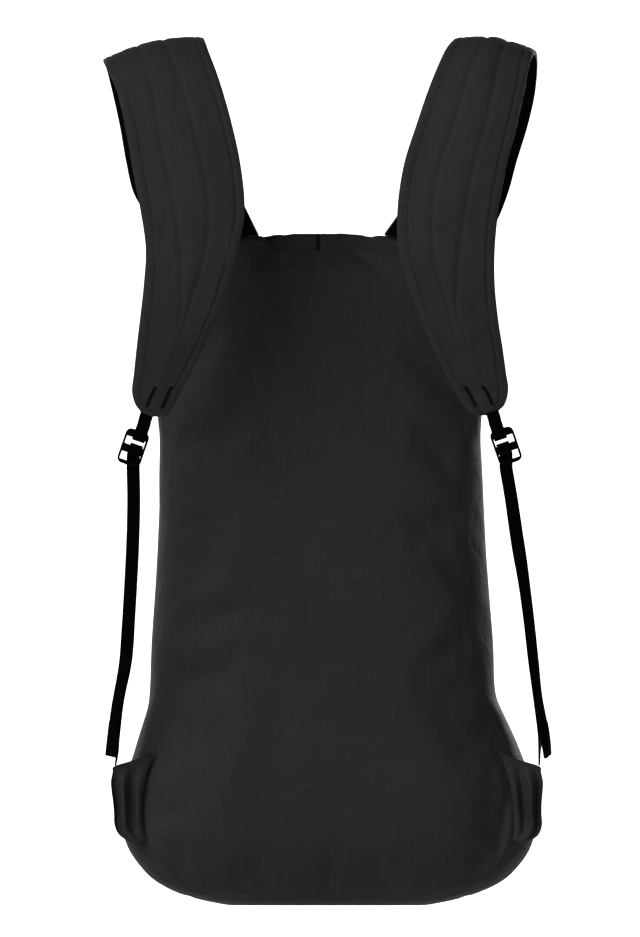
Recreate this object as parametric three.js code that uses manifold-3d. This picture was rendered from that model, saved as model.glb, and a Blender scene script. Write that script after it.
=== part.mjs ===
// Packable backpack with padded shoulder straps.
// Millimetres, +Z up. -Y is the side worn against the back, +X is on the right when looking at it.
// It is modelled from its base upwards and then moved, so that the origin lies between the
// undersides of the two strap arches, where shoulders would carry it.
import * as THREE from 'three';
import { mergeVertices } from 'three/addons/utils/BufferGeometryUtils.js';
import Module from 'manifold-3d';

const wasm = await Module();
wasm.setup();

// Sizes of the bag.
const bagHeight = 482;
const bagWidth = 298;
const bagDepth = 155;
const clothWall = 2;
const baseSeamHeight = 6;
const backBulge = 5;
const topSlope = 34;
const topDome = 5;
const scoopWidth = 84;
const scoopDepth = 10;

// Sizes of the zipper.
const zipperWidth = 26;
const zipperLength = 250;
const coilWidth = 6;
const coilRise = 1.2;
const sliderWidth = 9;
const sliderLength = 14;
const sliderThickness = 2.4;
const pullLength = 24;
const pullWidth = 6;

// Sizes of the corner wings.
const wingHeight = 62;
const wingReach = 23;
const wingTop = 110;
const wingThickness = 2;
const pleatDepth = 2.4;
const pleatCount = 2;

// Sizes of the straps.
const strapSpan = 157;
const archHeight = 620;
const archDepth = 88;
const padThickness = 10;
const strapEdge = 3.2;
const stitchInset = 7;
const quiltDepth = 2.4;
const rootInner = 46;
const rootDrop = 34;
const strapCrown = 4.5;

// Sizes of the webbing and buckles.
const webbingWidth = 9.5;
const webbingThickness = 1.3;
const hemLength = 26;
const buckleWidth = 17.5;
const buckleHeight = 26;
const buckleThickness = 4;
const buckleCorner = 4;
const topBar = 6;
const middleBar = 6;
const bottomBar = 3;
const slotWidth = 14;
const buckleTilt = 19;
const tipToBuckle = 26;
const tipToBuckleAngle = 22;
const tailStandOff = 4.5;
const anchorInset = 0.7;

// Room that is left between pieces.
const seamGap = 0.5;
const fitGap = 0.4;

// Sections of the bag from its base to its top.
// up is a share of bagHeight, wide and shift of bagWidth, back and front of bagDepth.
const bagSections = [
  { up: 0.000, wide: 0.490, shift: 0.013, back: 0.170, front: 0.800 },
  { up: 0.009, wide: 0.635, shift: 0.013, back: 0.110, front: 0.870 },
  { up: 0.024, wide: 0.775, shift: 0.015, back: 0.065, front: 0.920 },
  { up: 0.039, wide: 0.853, shift: 0.016, back: 0.040, front: 0.945 },
  { up: 0.054, wide: 0.899, shift: 0.017, back: 0.025, front: 0.960 },
  { up: 0.076, wide: 0.955, shift: 0.018, back: 0.012, front: 0.980 },
  { up: 0.106, wide: 0.995, shift: 0.017, back: 0.002, front: 0.995 },
  { up: 0.143, wide: 1.000, shift: 0.014, back: 0.000, front: 1.000 },
  { up: 0.188, wide: 0.980, shift: 0.012, back: 0.000, front: 1.000 },
  { up: 0.233, wide: 0.928, shift: 0.011, back: 0.005, front: 0.985 },
  { up: 0.278, wide: 0.874, shift: 0.007, back: 0.012, front: 0.970 },
  { up: 0.323, wide: 0.838, shift: 0.002, back: 0.015, front: 0.955 },
  { up: 0.398, wide: 0.824, shift: 0.001, back: 0.015, front: 0.935 },
  { up: 0.487, wide: 0.802, shift: 0.000, back: 0.012, front: 0.905 },
  { up: 0.577, wide: 0.786, shift: -0.001, back: 0.010, front: 0.870 },
  { up: 0.682, wide: 0.780, shift: -0.004, back: 0.010, front: 0.825 },
  { up: 0.756, wide: 0.787, shift: -0.006, back: 0.010, front: 0.790 },
  { up: 0.831, wide: 0.787, shift: -0.006, back: 0.015, front: 0.745 },
  { up: 0.891, wide: 0.775, shift: -0.006, back: 0.020, front: 0.690 },
  { up: 0.936, wide: 0.740, shift: -0.007, back: 0.030, front: 0.620 },
  { up: 0.963, wide: 0.690, shift: -0.008, back: 0.040, front: 0.555 },
  { up: 0.984, wide: 0.600, shift: -0.009, back: 0.055, front: 0.480 },
  { up: 1.000, wide: 0.460, shift: -0.010, back: 0.075, front: 0.400 },
];

// Soft folds of the bag's cloth, seen on the back panel (face -1) or the front (face 1).
// x is a share of half the bagWidth, up and long of bagHeight, broad of bagWidth,
// deep of bagDepth, and lean is the fold's angle from upright in degrees.
const bagFolds = [
  { face: -1, x: -0.78, up: 0.130, long: 0.10, broad: 0.045, deep: -0.024, lean: 62 },
  { face: -1, x: -0.66, up: 0.200, long: 0.12, broad: 0.050, deep: -0.020, lean: 35 },
  { face: -1, x: -0.40, up: 0.235, long: 0.13, broad: 0.070, deep: 0.018, lean: 15 },
  { face: -1, x: 0.80, up: 0.110, long: 0.10, broad: 0.045, deep: -0.026, lean: -58 },
  { face: -1, x: 0.70, up: 0.190, long: 0.12, broad: 0.050, deep: -0.020, lean: -32 },
  { face: -1, x: 0.38, up: 0.090, long: 0.09, broad: 0.060, deep: 0.016, lean: -70 },
  { face: -1, x: -0.62, up: 0.700, long: 0.16, broad: 0.055, deep: -0.022, lean: -6 },
  { face: -1, x: 0.60, up: 0.690, long: 0.16, broad: 0.055, deep: -0.022, lean: 6 },
  { face: 1, x: -0.55, up: 0.300, long: 0.16, broad: 0.080, deep: -0.040, lean: 20 },
  { face: 1, x: 0.58, up: 0.340, long: 0.15, broad: 0.080, deep: -0.040, lean: -24 },
  { face: 1, x: 0.45, up: 0.700, long: 0.13, broad: 0.070, deep: -0.035, lean: 30 },
  { face: 1, x: -0.48, up: 0.760, long: 0.12, broad: 0.070, deep: -0.030, lean: -28 },
];

// Outline of a corner wing from its lower end to its upper end.
// along is a share of wingHeight, reach of wingReach.
const wingOutline = [
  { along: 0.00, reach: 0.30 },
  { along: 0.06, reach: 0.60 },
  { along: 0.11, reach: 0.77 },
  { along: 0.22, reach: 0.88 },
  { along: 0.34, reach: 0.89 },
  { along: 0.46, reach: 0.93 },
  { along: 0.57, reach: 1.00 },
  { along: 0.69, reach: 1.08 },
  { along: 0.80, reach: 1.10 },
  { along: 0.86, reach: 1.12 },
  { along: 0.92, reach: 0.60 },
  { along: 1.00, reach: 0.10 },
];

// Edges of the straps from above the root, over the arch and down to the tip.
// up and drop are shares of archHeight, drop being how much lower the outer edge lies,
// outer and inner of strapSpan, and fore of archDepth.
const strapRows = {
  left: [
    { up: 0.805, drop: 0.0140, outer: 0.798, inner: 0.353, fore: -0.03 },
    { up: 0.832, drop: 0.0070, outer: 0.865, inner: 0.394, fore: -0.03 },
    { up: 0.866, drop: 0.0020, outer: 0.899, inner: 0.427, fore: -0.02 },
    { up: 0.907, drop: 0.0050, outer: 0.926, inner: 0.459, fore: 0.01 },
    { up: 0.948, drop: 0.0120, outer: 0.959, inner: 0.491, fore: 0.10 },
    { up: 0.979, drop: 0.0210, outer: 0.988, inner: 0.523, fore: 0.26 },
    { up: 0.988, drop: 0.0255, outer: 1.000, inner: 0.541, fore: 0.47 },
    { up: 0.977, drop: 0.0220, outer: 0.979, inner: 0.521, fore: 0.68 },
    { up: 0.948, drop: 0.0140, outer: 0.933, inner: 0.468, fore: 0.84 },
    { up: 0.907, drop: 0.0060, outer: 0.899, inner: 0.415, fore: 0.93 },
    { up: 0.860, drop: 0.0000, outer: 0.869, inner: 0.372, fore: 0.97 },
    { up: 0.808, drop: 0.0000, outer: 0.830, inner: 0.353, fore: 1.00 },
    { up: 0.762, drop: 0.0000, outer: 0.805, inner: 0.381, fore: 1.00 },
    { up: 0.721, drop: 0.0000, outer: 0.814, inner: 0.427, fore: 0.98 },
    { up: 0.680, drop: 0.0000, outer: 0.832, inner: 0.486, fore: 0.95 },
    { up: 0.646, drop: 0.0000, outer: 0.848, inner: 0.546, fore: 0.90 },
    { up: 0.617, drop: 0.0000, outer: 0.860, inner: 0.603, fore: 0.85 },
    { up: 0.597, drop: 0.0000, outer: 0.868, inner: 0.646, fore: 0.81 },
    { up: 0.584, drop: 0.0000, outer: 0.855, inner: 0.670, fore: 0.79 },
    { up: 0.574, drop: -0.0087, outer: 0.839, inner: 0.706, fore: 0.775 },
    { up: 0.571, drop: -0.0058, outer: 0.829, inner: 0.772, fore: 0.77 },
  ],
  right: [
    { up: 0.799, drop: 0.0120, outer: 0.798, inner: 0.353, fore: -0.03 },
    { up: 0.832, drop: 0.0060, outer: 0.855, inner: 0.404, fore: -0.03 },
    { up: 0.866, drop: 0.0020, outer: 0.894, inner: 0.440, fore: -0.02 },
    { up: 0.907, drop: 0.0040, outer: 0.942, inner: 0.495, fore: 0.01 },
    { up: 0.948, drop: 0.0090, outer: 0.977, inner: 0.546, fore: 0.10 },
    { up: 0.980, drop: 0.0140, outer: 0.986, inner: 0.587, fore: 0.26 },
    { up: 0.993, drop: 0.0140, outer: 0.975, inner: 0.610, fore: 0.47 },
    { up: 0.982, drop: 0.0105, outer: 0.954, inner: 0.564, fore: 0.68 },
    { up: 0.948, drop: 0.0060, outer: 0.924, inner: 0.495, fore: 0.84 },
    { up: 0.907, drop: 0.0000, outer: 0.890, inner: 0.433, fore: 0.93 },
    { up: 0.860, drop: 0.0000, outer: 0.844, inner: 0.374, fore: 0.97 },
    { up: 0.808, drop: 0.0000, outer: 0.807, inner: 0.344, fore: 1.00 },
    { up: 0.762, drop: 0.0000, outer: 0.789, inner: 0.349, fore: 1.00 },
    { up: 0.721, drop: 0.0000, outer: 0.789, inner: 0.392, fore: 0.98 },
    { up: 0.680, drop: 0.0000, outer: 0.805, inner: 0.454, fore: 0.95 },
    { up: 0.646, drop: 0.0000, outer: 0.826, inner: 0.507, fore: 0.90 },
    { up: 0.617, drop: 0.0000, outer: 0.842, inner: 0.564, fore: 0.85 },
    { up: 0.600, drop: 0.0000, outer: 0.851, inner: 0.600, fore: 0.81 },
    { up: 0.585, drop: 0.0000, outer: 0.839, inner: 0.635, fore: 0.79 },
    { up: 0.575, drop: -0.0087, outer: 0.821, inner: 0.688, fore: 0.775 },
    { up: 0.573, drop: -0.0070, outer: 0.807, inner: 0.750, fore: 0.77 },
  ],
};

// The two quilting lines of a strap. along is a share of the strap from root to tip,
// outer and inner are shares of the strap's width, and deep is a share of quiltDepth.
const quiltLines = [
  { along: 0.00, outer: 0.35, inner: 0.63, deep: 0.0 },
  { along: 0.10, outer: 0.34, inner: 0.63, deep: 0.6 },
  { along: 0.36, outer: 0.35, inner: 0.61, deep: 1.0 },
  { along: 0.48, outer: 0.31, inner: 0.63, deep: 1.0 },
  { along: 0.57, outer: 0.33, inner: 0.66, deep: 1.0 },
  { along: 0.65, outer: 0.41, inner: 0.63, deep: 1.0 },
  { along: 0.71, outer: 0.52, inner: 0.60, deep: 1.0 },
  { along: 0.76, outer: 0.46, inner: 0.64, deep: 0.0 },
  { along: 1.00, outer: 0.40, inner: 0.60, deep: 0.0 },
];

// Thickness of the padding along a strap, with shares as above. full is a share of padThickness.
const padProfile = [
  { along: 0.00, full: 0.40 },
  { along: 0.08, full: 0.70 },
  { along: 0.18, full: 1.00 },
  { along: 0.84, full: 1.00 },
  { along: 0.93, full: 0.70 },
  { along: 0.97, full: 0.36 },
  { along: 1.00, full: 0.32 },
];

// How the adjuster webbing leaves the straight line from the buckle to the wing.
// along is a share of that line, load and tail are outward shares of webbingWidth for the
// strand that pulls and the free one, and turn and twist are their turns in degrees.
const webbingRows = {
  left: [
    { along: 0.000, load: 0.000, tail: 0.000, turn: 0, twist: 0 },
    { along: 0.100, load: -0.175, tail: -0.175, turn: 0, twist: 0 },
    { along: 0.240, load: -0.295, tail: -0.295, turn: 0, twist: 0 },
    { along: 0.370, load: -0.330, tail: -0.330, turn: 0, twist: 0 },
    { along: 0.510, load: -0.335, tail: -0.335, turn: 0, twist: 0 },
    { along: 0.650, load: -0.330, tail: -0.350, turn: 28, twist: 28 },
    { along: 0.780, load: -0.020, tail: -0.160, turn: 50, twist: 50 },
    { along: 0.900, load: 0.000, tail: -0.080, turn: 72, twist: 40 },
    { along: 0.965, load: -0.080, tail: 0.020, turn: 86, twist: 32 },
    { along: 1.000, load: 0.000, tail: 0.040, turn: 88, twist: 30 },
  ],
  right: [
    { along: 0.000, load: 0.000, tail: 0.000, turn: 0, twist: 0 },
    { along: 0.100, load: 0.140, tail: 0.140, turn: 0, twist: 0 },
    { along: 0.240, load: 0.240, tail: 0.240, turn: 12, twist: 12 },
    { along: 0.370, load: 0.350, tail: 0.350, turn: 42, twist: 42 },
    { along: 0.510, load: 0.415, tail: 0.415, turn: 50, twist: 50 },
    { along: 0.650, load: 0.410, tail: 0.410, turn: 54, twist: 54 },
    { along: 0.780, load: 0.480, tail: 0.220, turn: 56, twist: 54 },
    { along: 0.900, load: 0.420, tail: 0.270, turn: 72, twist: 50 },
    { along: 0.965, load: 0.200, tail: 0.220, turn: 86, twist: 62 },
    { along: 1.000, load: 0.100, tail: 0.200, turn: 88, twist: 65 },
  ],
};

// Reads one column of a table at a place between its rows, along a smooth curve.
function readTable(rows, key, column, place) {
  const last = rows.length - 1;
  let i = 0;
  while (i < last - 1 && rows[i + 1][key] < place) i += 1;
  const slope = (k) => {
    const a = rows[Math.max(k - 1, 0)];
    const b = rows[Math.min(k + 1, last)];
    return (b[column] - a[column]) / (b[key] - a[key]);
  };
  const span = rows[i + 1][key] - rows[i][key];
  const t = THREE.MathUtils.clamp((place - rows[i][key]) / span, 0, 1);
  const h1 = 2 * t ** 3 - 3 * t ** 2 + 1;
  const h2 = t ** 3 - 2 * t ** 2 + t;
  const h3 = 3 * t ** 2 - 2 * t ** 3;
  const h4 = t ** 3 - t ** 2;
  return h1 * rows[i][column] + h2 * span * slope(i)
    + h3 * rows[i + 1][column] + h4 * span * slope(i + 1);
}

const smooth = (from, to, value) => THREE.MathUtils.smoothstep(value, from, to);

// Turns a list of corners and triangles into a geometry with flat faces.
function geometryOf(points, triangles) {
  const geometry = new THREE.BufferGeometry();
  const numbers = points.flatMap((point) => point.toArray());
  geometry.setAttribute('position', new THREE.Float32BufferAttribute(numbers, 3));
  geometry.setIndex(triangles.flat());
  geometry.computeVertexNormals();
  return geometry;
}

// Thickens a grid of points into a closed sheet. thickness(i, j) is its full thickness there.
function sheetGeometry(grid, thickness) {
  const rows = grid.length;
  const columns = grid[0].length;
  const front = [];
  const back = [];
  for (let i = 0; i < rows; i += 1) {
    for (let j = 0; j < columns; j += 1) {
      const along = grid[Math.min(i + 1, rows - 1)][j].clone().sub(grid[Math.max(i - 1, 0)][j]);
      const across = grid[i][Math.min(j + 1, columns - 1)].clone().sub(grid[i][Math.max(j - 1, 0)]);
      const normal = along.cross(across).normalize().multiplyScalar(thickness(i, j) / 2);
      front.push(grid[i][j].clone().add(normal));
      back.push(grid[i][j].clone().sub(normal));
    }
  }
  const offset = rows * columns;
  const id = (i, j) => i * columns + j;
  const triangles = [];
  const quad = (a, b, c, d) => triangles.push([a, b, c], [a, c, d]);
  for (let i = 0; i < rows - 1; i += 1) {
    for (let j = 0; j < columns - 1; j += 1) {
      quad(id(i, j), id(i + 1, j), id(i + 1, j + 1), id(i, j + 1));
      quad(offset + id(i, j), offset + id(i, j + 1), offset + id(i + 1, j + 1), offset + id(i + 1, j));
    }
  }
  const rim = [];
  for (let j = 0; j < columns - 1; j += 1) rim.push([id(0, j), id(0, j + 1)]);
  for (let i = 0; i < rows - 1; i += 1) rim.push([id(i, columns - 1), id(i + 1, columns - 1)]);
  for (let j = columns - 1; j > 0; j -= 1) rim.push([id(rows - 1, j), id(rows - 1, j - 1)]);
  for (let i = rows - 1; i > 0; i -= 1) rim.push([id(i, 0), id(i - 1, 0)]);
  for (const [a, b] of rim) quad(a, b, offset + b, offset + a);
  return geometryOf([...front, ...back], triangles);
}

// The bag's outer surface is a box of lattice points pulled onto rounded sections.
// a runs across, b from back to front and c from base to top.
const zipperHalf = zipperWidth / 2;
const coilHalf = coilWidth / 2;
const acrossShares = [-1, -0.84, -0.66, -0.48, -0.3];
const acrossLines = [
  ...acrossShares.map((share) => ({ share })),
  { mm: -zipperHalf }, { mm: -coilHalf }, { share: 0 }, { mm: coilHalf }, { mm: zipperHalf },
  ...acrossShares.map((share) => ({ share: -share })).reverse(),
];
const depthLines = [-1, -0.72, -0.44, -0.15, 0.15, 0.44, 0.72, 1];
const baseSeam = baseSeamHeight / bagHeight;
const zipperEnd = 1 - zipperLength / bagHeight;
const heightLines = [
  0, baseSeam, 0.024, 0.039, 0.056, 0.08, 0.108, 0.143, 0.188, 0.233, 0.278, 0.323, 0.385,
  zipperEnd, 0.55, 0.62, 0.69, 0.756, 0.82, 0.87, 0.91, 0.94, 0.963, 0.984, 1,
];

function sectionAt(c) {
  const read = (column) => readTable(bagSections, 'up', column, c);
  const back = read('back') * bagDepth;
  const front = read('front') * bagDepth;
  return {
    halfWidth: read('wide') * bagWidth / 2,
    centreX: read('shift') * bagWidth,
    centreY: (back + front) / 2,
    halfDepth: (front - back) / 2,
  };
}

function foldAt(face, x, up) {
  let push = 0;
  for (const fold of bagFolds.filter((one) => one.face === face)) {
    const lean = THREE.MathUtils.degToRad(fold.lean);
    const dx = x - fold.x * bagWidth / 2;
    const dz = (up - fold.up) * bagHeight;
    const alongFold = (dx * Math.sin(lean) + dz * Math.cos(lean)) / (fold.long * bagHeight);
    const acrossFold = (dx * Math.cos(lean) - dz * Math.sin(lean)) / (fold.broad * bagWidth);
    push += fold.deep * bagDepth * Math.exp(-(acrossFold ** 2) * 2 - alongFold ** 2 * 2);
  }
  return push;
}

function bagPoint(line, b, c) {
  const s = sectionAt(c);
  const a = line.mm === undefined ? line.share : line.mm / s.halfWidth;
  const reach = Math.max(Math.abs(a), Math.abs(b));
  let x = s.centreX;
  let y = s.centreY;
  let fromBack = 0.5;
  if (reach > 0) {
    const roundness = 4.5 - 1.5 * (b / reach);
    const size = (Math.abs(a / reach) ** roundness + Math.abs(b / reach) ** roundness) ** (1 / roundness);
    x += (a / size) * s.halfWidth;
    y += (b / size) * s.halfDepth;
    fromBack = (1 + b / size) / 2;
  }
  let z = c * bagHeight;
  const topShare = smooth(0.7, 1, c);
  z -= topSlope * topShare * smooth(0, 1.1, fromBack) * Math.min(fromBack * 1.2, 1);
  if (c === 1) z += topDome * (1 - a * a) * (1 - b * b);
  const scoopPlace = Math.abs(x - s.centreX) / (scoopWidth / 2);
  const scoopShare = (1 - smooth(0.68, 1.08, scoopPlace)) * smooth(0.93, 1, c);
  z -= scoopDepth * scoopShare * (1 - smooth(0.02, 0.2, fromBack));
  if (b === -1) {
    const flat = (1 - a * a) * smooth(0, 0.12, c) * (1 - smooth(0.86, 1, c));
    y -= backBulge * flat + foldAt(-1, x, c) * flat;
  }
  if (b === 1) {
    const flat = (1 - a * a) * smooth(0, 0.12, c) * (1 - smooth(0.86, 1, c));
    y += foldAt(1, x, c) * flat;
  }
  return new THREE.Vector3(x, y, z);
}

// Every lattice point is kept once, and every cell knows the face it lies on.
const lattice = new Map();
const cells = [];
const acrossCells = acrossLines.length - 1;
const depthCells = depthLines.length - 1;
const heightCells = heightLines.length - 1;

function corner([i, j, k]) {
  const key = `${i},${j},${k}`;
  if (!lattice.has(key)) {
    const point = bagPoint(acrossLines[i], depthLines[j], heightLines[k]);
    lattice.set(key, { point, normal: new THREE.Vector3() });
  }
  return key;
}

function addCell(face, i, j, k, corners) {
  cells.push({ face, i, j, k, keys: corners.map(corner) });
}

const w = acrossCells;
const d = depthCells;
const h = heightCells;
for (let k = 0; k < h; k += 1) {
  for (let i = 0; i < w; i += 1) {
    addCell('back', i, 0, k, [[i, 0, k], [i + 1, 0, k], [i + 1, 0, k + 1], [i, 0, k + 1]]);
    addCell('front', i, d, k, [[i + 1, d, k], [i, d, k], [i, d, k + 1], [i + 1, d, k + 1]]);
  }
  for (let j = 0; j < d; j += 1) {
    addCell('left', 0, j, k, [[0, j + 1, k], [0, j, k], [0, j, k + 1], [0, j + 1, k + 1]]);
    addCell('right', w, j, k, [[w, j, k], [w, j + 1, k], [w, j + 1, k + 1], [w, j, k + 1]]);
  }
}
for (let i = 0; i < w; i += 1) {
  for (let j = 0; j < d; j += 1) {
    addCell('base', i, j, 0, [[i, j + 1, 0], [i + 1, j + 1, 0], [i + 1, j, 0], [i, j, 0]]);
    addCell('top', i, j, h, [[i, j, h], [i + 1, j, h], [i + 1, j + 1, h], [i, j + 1, h]]);
  }
}
for (const cell of cells) {
  const [p, q, r, s] = cell.keys.map((key) => lattice.get(key).point);
  const normal = r.clone().sub(p).cross(s.clone().sub(q));
  for (const key of cell.keys) lattice.get(key).normal.add(normal);
}
for (const entry of lattice.values()) entry.normal.normalize();

// Makes a wall of cloth from some of the cells. Its rim is drawn in by half a seam's gap.
function panelGeometry(isMember, lift = () => 0) {
  const members = cells.filter(isMember);
  const edges = new Map();
  const pulls = new Map();
  for (const cell of members) {
    for (let n = 0; n < 4; n += 1) {
      const a = cell.keys[n];
      const b = cell.keys[(n + 1) % 4];
      if (edges.has(`${b} ${a}`)) edges.delete(`${b} ${a}`);
      else edges.set(`${a} ${b}`, { a, b, cell });
    }
  }
  for (const { a, b, cell } of edges.values()) {
    const centre = new THREE.Vector3();
    for (const key of cell.keys) centre.addScaledVector(lattice.get(key).point, 0.25);
    const start = lattice.get(a).point;
    const run = lattice.get(b).point.clone().sub(start).normalize();
    const inward = centre.sub(start);
    inward.addScaledVector(run, -inward.dot(run)).normalize();
    for (const key of [a, b]) {
      if (!pulls.has(key)) pulls.set(key, []);
      pulls.get(key).push(inward);
    }
  }
  const ids = new Map();
  const outer = [];
  const inner = [];
  const index = (key) => {
    if (!ids.has(key)) {
      const { point, normal } = lattice.get(key);
      const place = point.clone();
      for (const pull of pulls.get(key) ?? []) {
        const share = pulls.get(key).length === 2 && pull.dot(pulls.get(key)[0]) > 0.5
          && pull.dot(pulls.get(key)[1]) > 0.5 ? 0.5 : 1;
        place.addScaledVector(pull, share * seamGap / 2);
      }
      ids.set(key, outer.length);
      outer.push(place.clone().addScaledVector(normal, lift(key)));
      inner.push(place.addScaledVector(normal, -clothWall));
    }
    return ids.get(key);
  };
  for (const cell of members) cell.keys.forEach(index);
  const count = outer.length;
  const triangles = [];
  const quad = (a, b, c, d) => triangles.push([a, b, c], [a, c, d]);
  for (const cell of members) {
    const [a, b, c, d] = cell.keys.map(index);
    quad(a, b, c, d);
    quad(count + a, count + d, count + c, count + b);
  }
  for (const edge of edges.values()) {
    const a = index(edge.a);
    const b = index(edge.b);
    quad(b, a, count + a, count + b);
  }
  return geometryOf([...outer, ...inner], triangles);
}

const seamRow = heightLines.indexOf(baseSeam);
const zipperRow = heightLines.indexOf(zipperEnd);
const zipperFirst = acrossShares.length;
const zipperLast = zipperFirst + 3;
const isZipper = (cell) => cell.i >= zipperFirst && cell.i <= zipperLast
  && (cell.face === 'top' || (cell.face === 'front' && cell.k >= zipperRow));
const isBase = (cell) => cell.face === 'base' || (cell.face !== 'top' && cell.k < seamRow);
const isBack = (cell) => cell.face === 'back' && !isBase(cell);
const isSide = (side) => (cell) => cell.face === side && !isBase(cell);
const isFront = (cell) => (cell.face === 'front' || cell.face === 'top')
  && !isBase(cell) && !isZipper(cell);
const middleColumn = acrossLines.findIndex((line) => line.share === 0);
const coilLift = (key) => (Number(key.split(',')[0]) === middleColumn ? coilRise : 0);

// A place on the side seam between the back panel and the wrap, at a height.
function seamPlace(side, c) {
  const step = 0.004;
  const line = { share: side };
  const point = bagPoint(line, -1, c);
  const above = bagPoint(line, -1, Math.min(c + step, 1));
  const below = bagPoint(line, -1, Math.max(c - step, 0));
  const run = above.sub(below).normalize();
  const outward = new THREE.Vector3(side, -1, 0).normalize();
  outward.addScaledVector(run, -outward.dot(run)).normalize();
  return { point, outward };
}

// Corner wing: a pleated tab that stands out from the side seam.
function wingGeometry(side) {
  const columns = 8;
  const rows = wingOutline.length + 3;
  const grid = [];
  for (let i = 0; i < rows; i += 1) {
    const along = i / (rows - 1);
    const z = wingTop - wingHeight * (1 - along);
    const reach = wingReach * Math.max(readTable(wingOutline, 'along', 'reach', along), 0.08);
    const { point, outward } = seamPlace(side, z / bagHeight);
    const start = point.clone().addScaledVector(outward, wingThickness * 0.35 + fitGap);
    const row = [];
    for (let j = 0; j <= columns; j += 1) {
      const share = j / columns;
      const wave = Math.sin(share * pleatCount * 2 * Math.PI);
      const swell = Math.sin(Math.PI * Math.min(along * 1.15, 1));
      row.push(new THREE.Vector3(
        start.x + side * reach * share,
        start.y - share * 3 - pleatDepth * wave * swell * Math.sqrt(share),
        z - (1 - along) * share * 4,
      ));
    }
    grid.push(side > 0 ? row : row.reverse());
  }
  return sheetGeometry(grid, () => wingThickness);
}

// Middle surface of a strap. Its first row follows the bag's seam.
const strapSteps = 34;
function strapGrid(side) {
  const name = side < 0 ? 'left' : 'right';
  const rows = strapRows[name].map((row) => {
    const point = (edge, sign) => new THREE.Vector3(
      side * row[edge] * strapSpan,
      -row.fore * archDepth,
      (row.up - sign * row.drop / 2) * archHeight,
    );
    const outer = point('outer', 1);
    const inner = point('inner', -1);
    const crown = strapCrown * smooth(0.93, 0.98, row.up);
    return (share) => {
      const spot = outer.clone().lerp(inner, share);
      spot.z += crown * (1 + Math.sin(Math.PI * share)) / 2;
      return spot;
    };
  });
  const cornerTop = bagPoint({ share: side }, -1, 1);
  const rootSeam = (share) => {
    const outerHeight = 1 - rootDrop / bagHeight;
    const sideRun = rootDrop;
    const topRun = Math.abs(cornerTop.x) - rootInner;
    const turn = sideRun / (sideRun + topRun);
    if (share < turn) {
      const { point, outward } = seamPlace(side, outerHeight + (1 - outerHeight) * (share / turn));
      return point.addScaledVector(outward, strapEdge / 2 + fitGap);
    }
    const x = cornerTop.x + (side * rootInner - cornerTop.x) * ((share - turn) / (1 - turn));
    const s = sectionAt(1);
    const point = bagPoint({ mm: x - s.centreX }, -1, 1);
    const { outward } = seamPlace(side, 1);
    const lift = new THREE.Vector3(0, -0.5, 0.86);
    const blend = outward.lerp(lift, (share - turn) / (1 - turn)).normalize();
    return point.addScaledVector(blend, strapEdge / 2 + fitGap);
  };
  const stations = [rootSeam, ...rows];
  const curveAt = (share) => new THREE.CatmullRomCurve3(
    stations.map((station) => station(share)), false, 'centripetal',
  );
  const shares = (along) => {
    const outer = readTable(quiltLines, 'along', 'outer', along);
    const inner = readTable(quiltLines, 'along', 'inner', along);
    const edge = stitchInset / (strapSpan * 0.47);
    const groove = 0.035;
    return [
      0, edge * 0.4, edge, (edge + outer) / 2, outer - groove, outer, outer + groove,
      inner - groove, inner, inner + groove, (inner + 1 - edge) / 2, 1 - edge, 1 - edge * 0.4, 1,
    ];
  };
  const grid = [];
  const places = [];
  const lines = 9;
  const curves = [];
  for (let n = 0; n < lines; n += 1) curves.push(curveAt(n / (lines - 1)));
  for (let i = 0; i <= strapSteps; i += 1) {
    const along = i / strapSteps;
    const marks = curves.map((curve) => curve.getPoint(along));
    const list = shares(along);
    grid.push(list.map((share) => {
      const spot = share * (lines - 1);
      const n = Math.min(Math.floor(spot), lines - 2);
      return marks[n].clone().lerp(marks[n + 1], spot - n);
    }));
    places.push({ along, list });
  }
  return { grid, places };
}

function strapThickness(place, column) {
  const { along, list } = place;
  const full = readTable(padProfile, 'along', 'full', along) * padThickness;
  const share = list[column];
  const fromEdge = Math.min(share, 1 - share);
  const edge = list[2];
  const rim = Math.min(strapEdge, full);
  const swell = fromEdge <= edge ? 0.25 * fromEdge / edge : 0.25 + 0.75 * smooth(edge, edge * 3, fromEdge);
  const deep = Math.max(readTable(quiltLines, 'along', 'deep', along), 0) * quiltDepth;
  const groove = column === 5 || column === 8 ? deep : 0;
  return Math.max(rim + (full - rim) * swell - groove * 1.6, rim);
}

function strapGeometry(side) {
  const { grid, places } = strapGrid(side);
  const turned = side < 0 ? grid : grid.map((row) => [...row].reverse());
  const columnAt = (j) => (side < 0 ? j : grid[0].length - 1 - j);
  return sheetGeometry(turned, (i, j) => strapThickness(places[i], columnAt(j)));
}

// Turns a geometry into a solid that can be cut, and back.
function solidOf(geometry) {
  const bare = new THREE.BufferGeometry();
  bare.setAttribute('position', geometry.getAttribute('position').clone());
  if (geometry.index) bare.setIndex(geometry.index.clone());
  const merged = mergeVertices(bare, 1e-4);
  return new wasm.Manifold(new wasm.Mesh({
    numProp: 3,
    vertProperties: new Float32Array(merged.getAttribute('position').array),
    triVerts: new Uint32Array(merged.index.array),
  }));
}

function cutGeometry(solid) {
  const mesh = solid.getMesh();
  const geometry = new THREE.BufferGeometry();
  geometry.setAttribute('position', new THREE.BufferAttribute(mesh.vertProperties, 3));
  geometry.setIndex(new THREE.BufferAttribute(mesh.triVerts, 1));
  geometry.computeVertexNormals();
  return geometry;
}

// Heights of the buckle's bars and slots, from its middle.
const slotHeight = (buckleHeight - topBar - middleBar - bottomBar) / 2;
const lowerSlotFoot = -buckleHeight / 2 + bottomBar;
const middleBarFoot = lowerSlotFoot + slotHeight;
const upperSlotFoot = middleBarFoot + middleBar;
const topBarFoot = upperSlotFoot + slotHeight;

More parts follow.
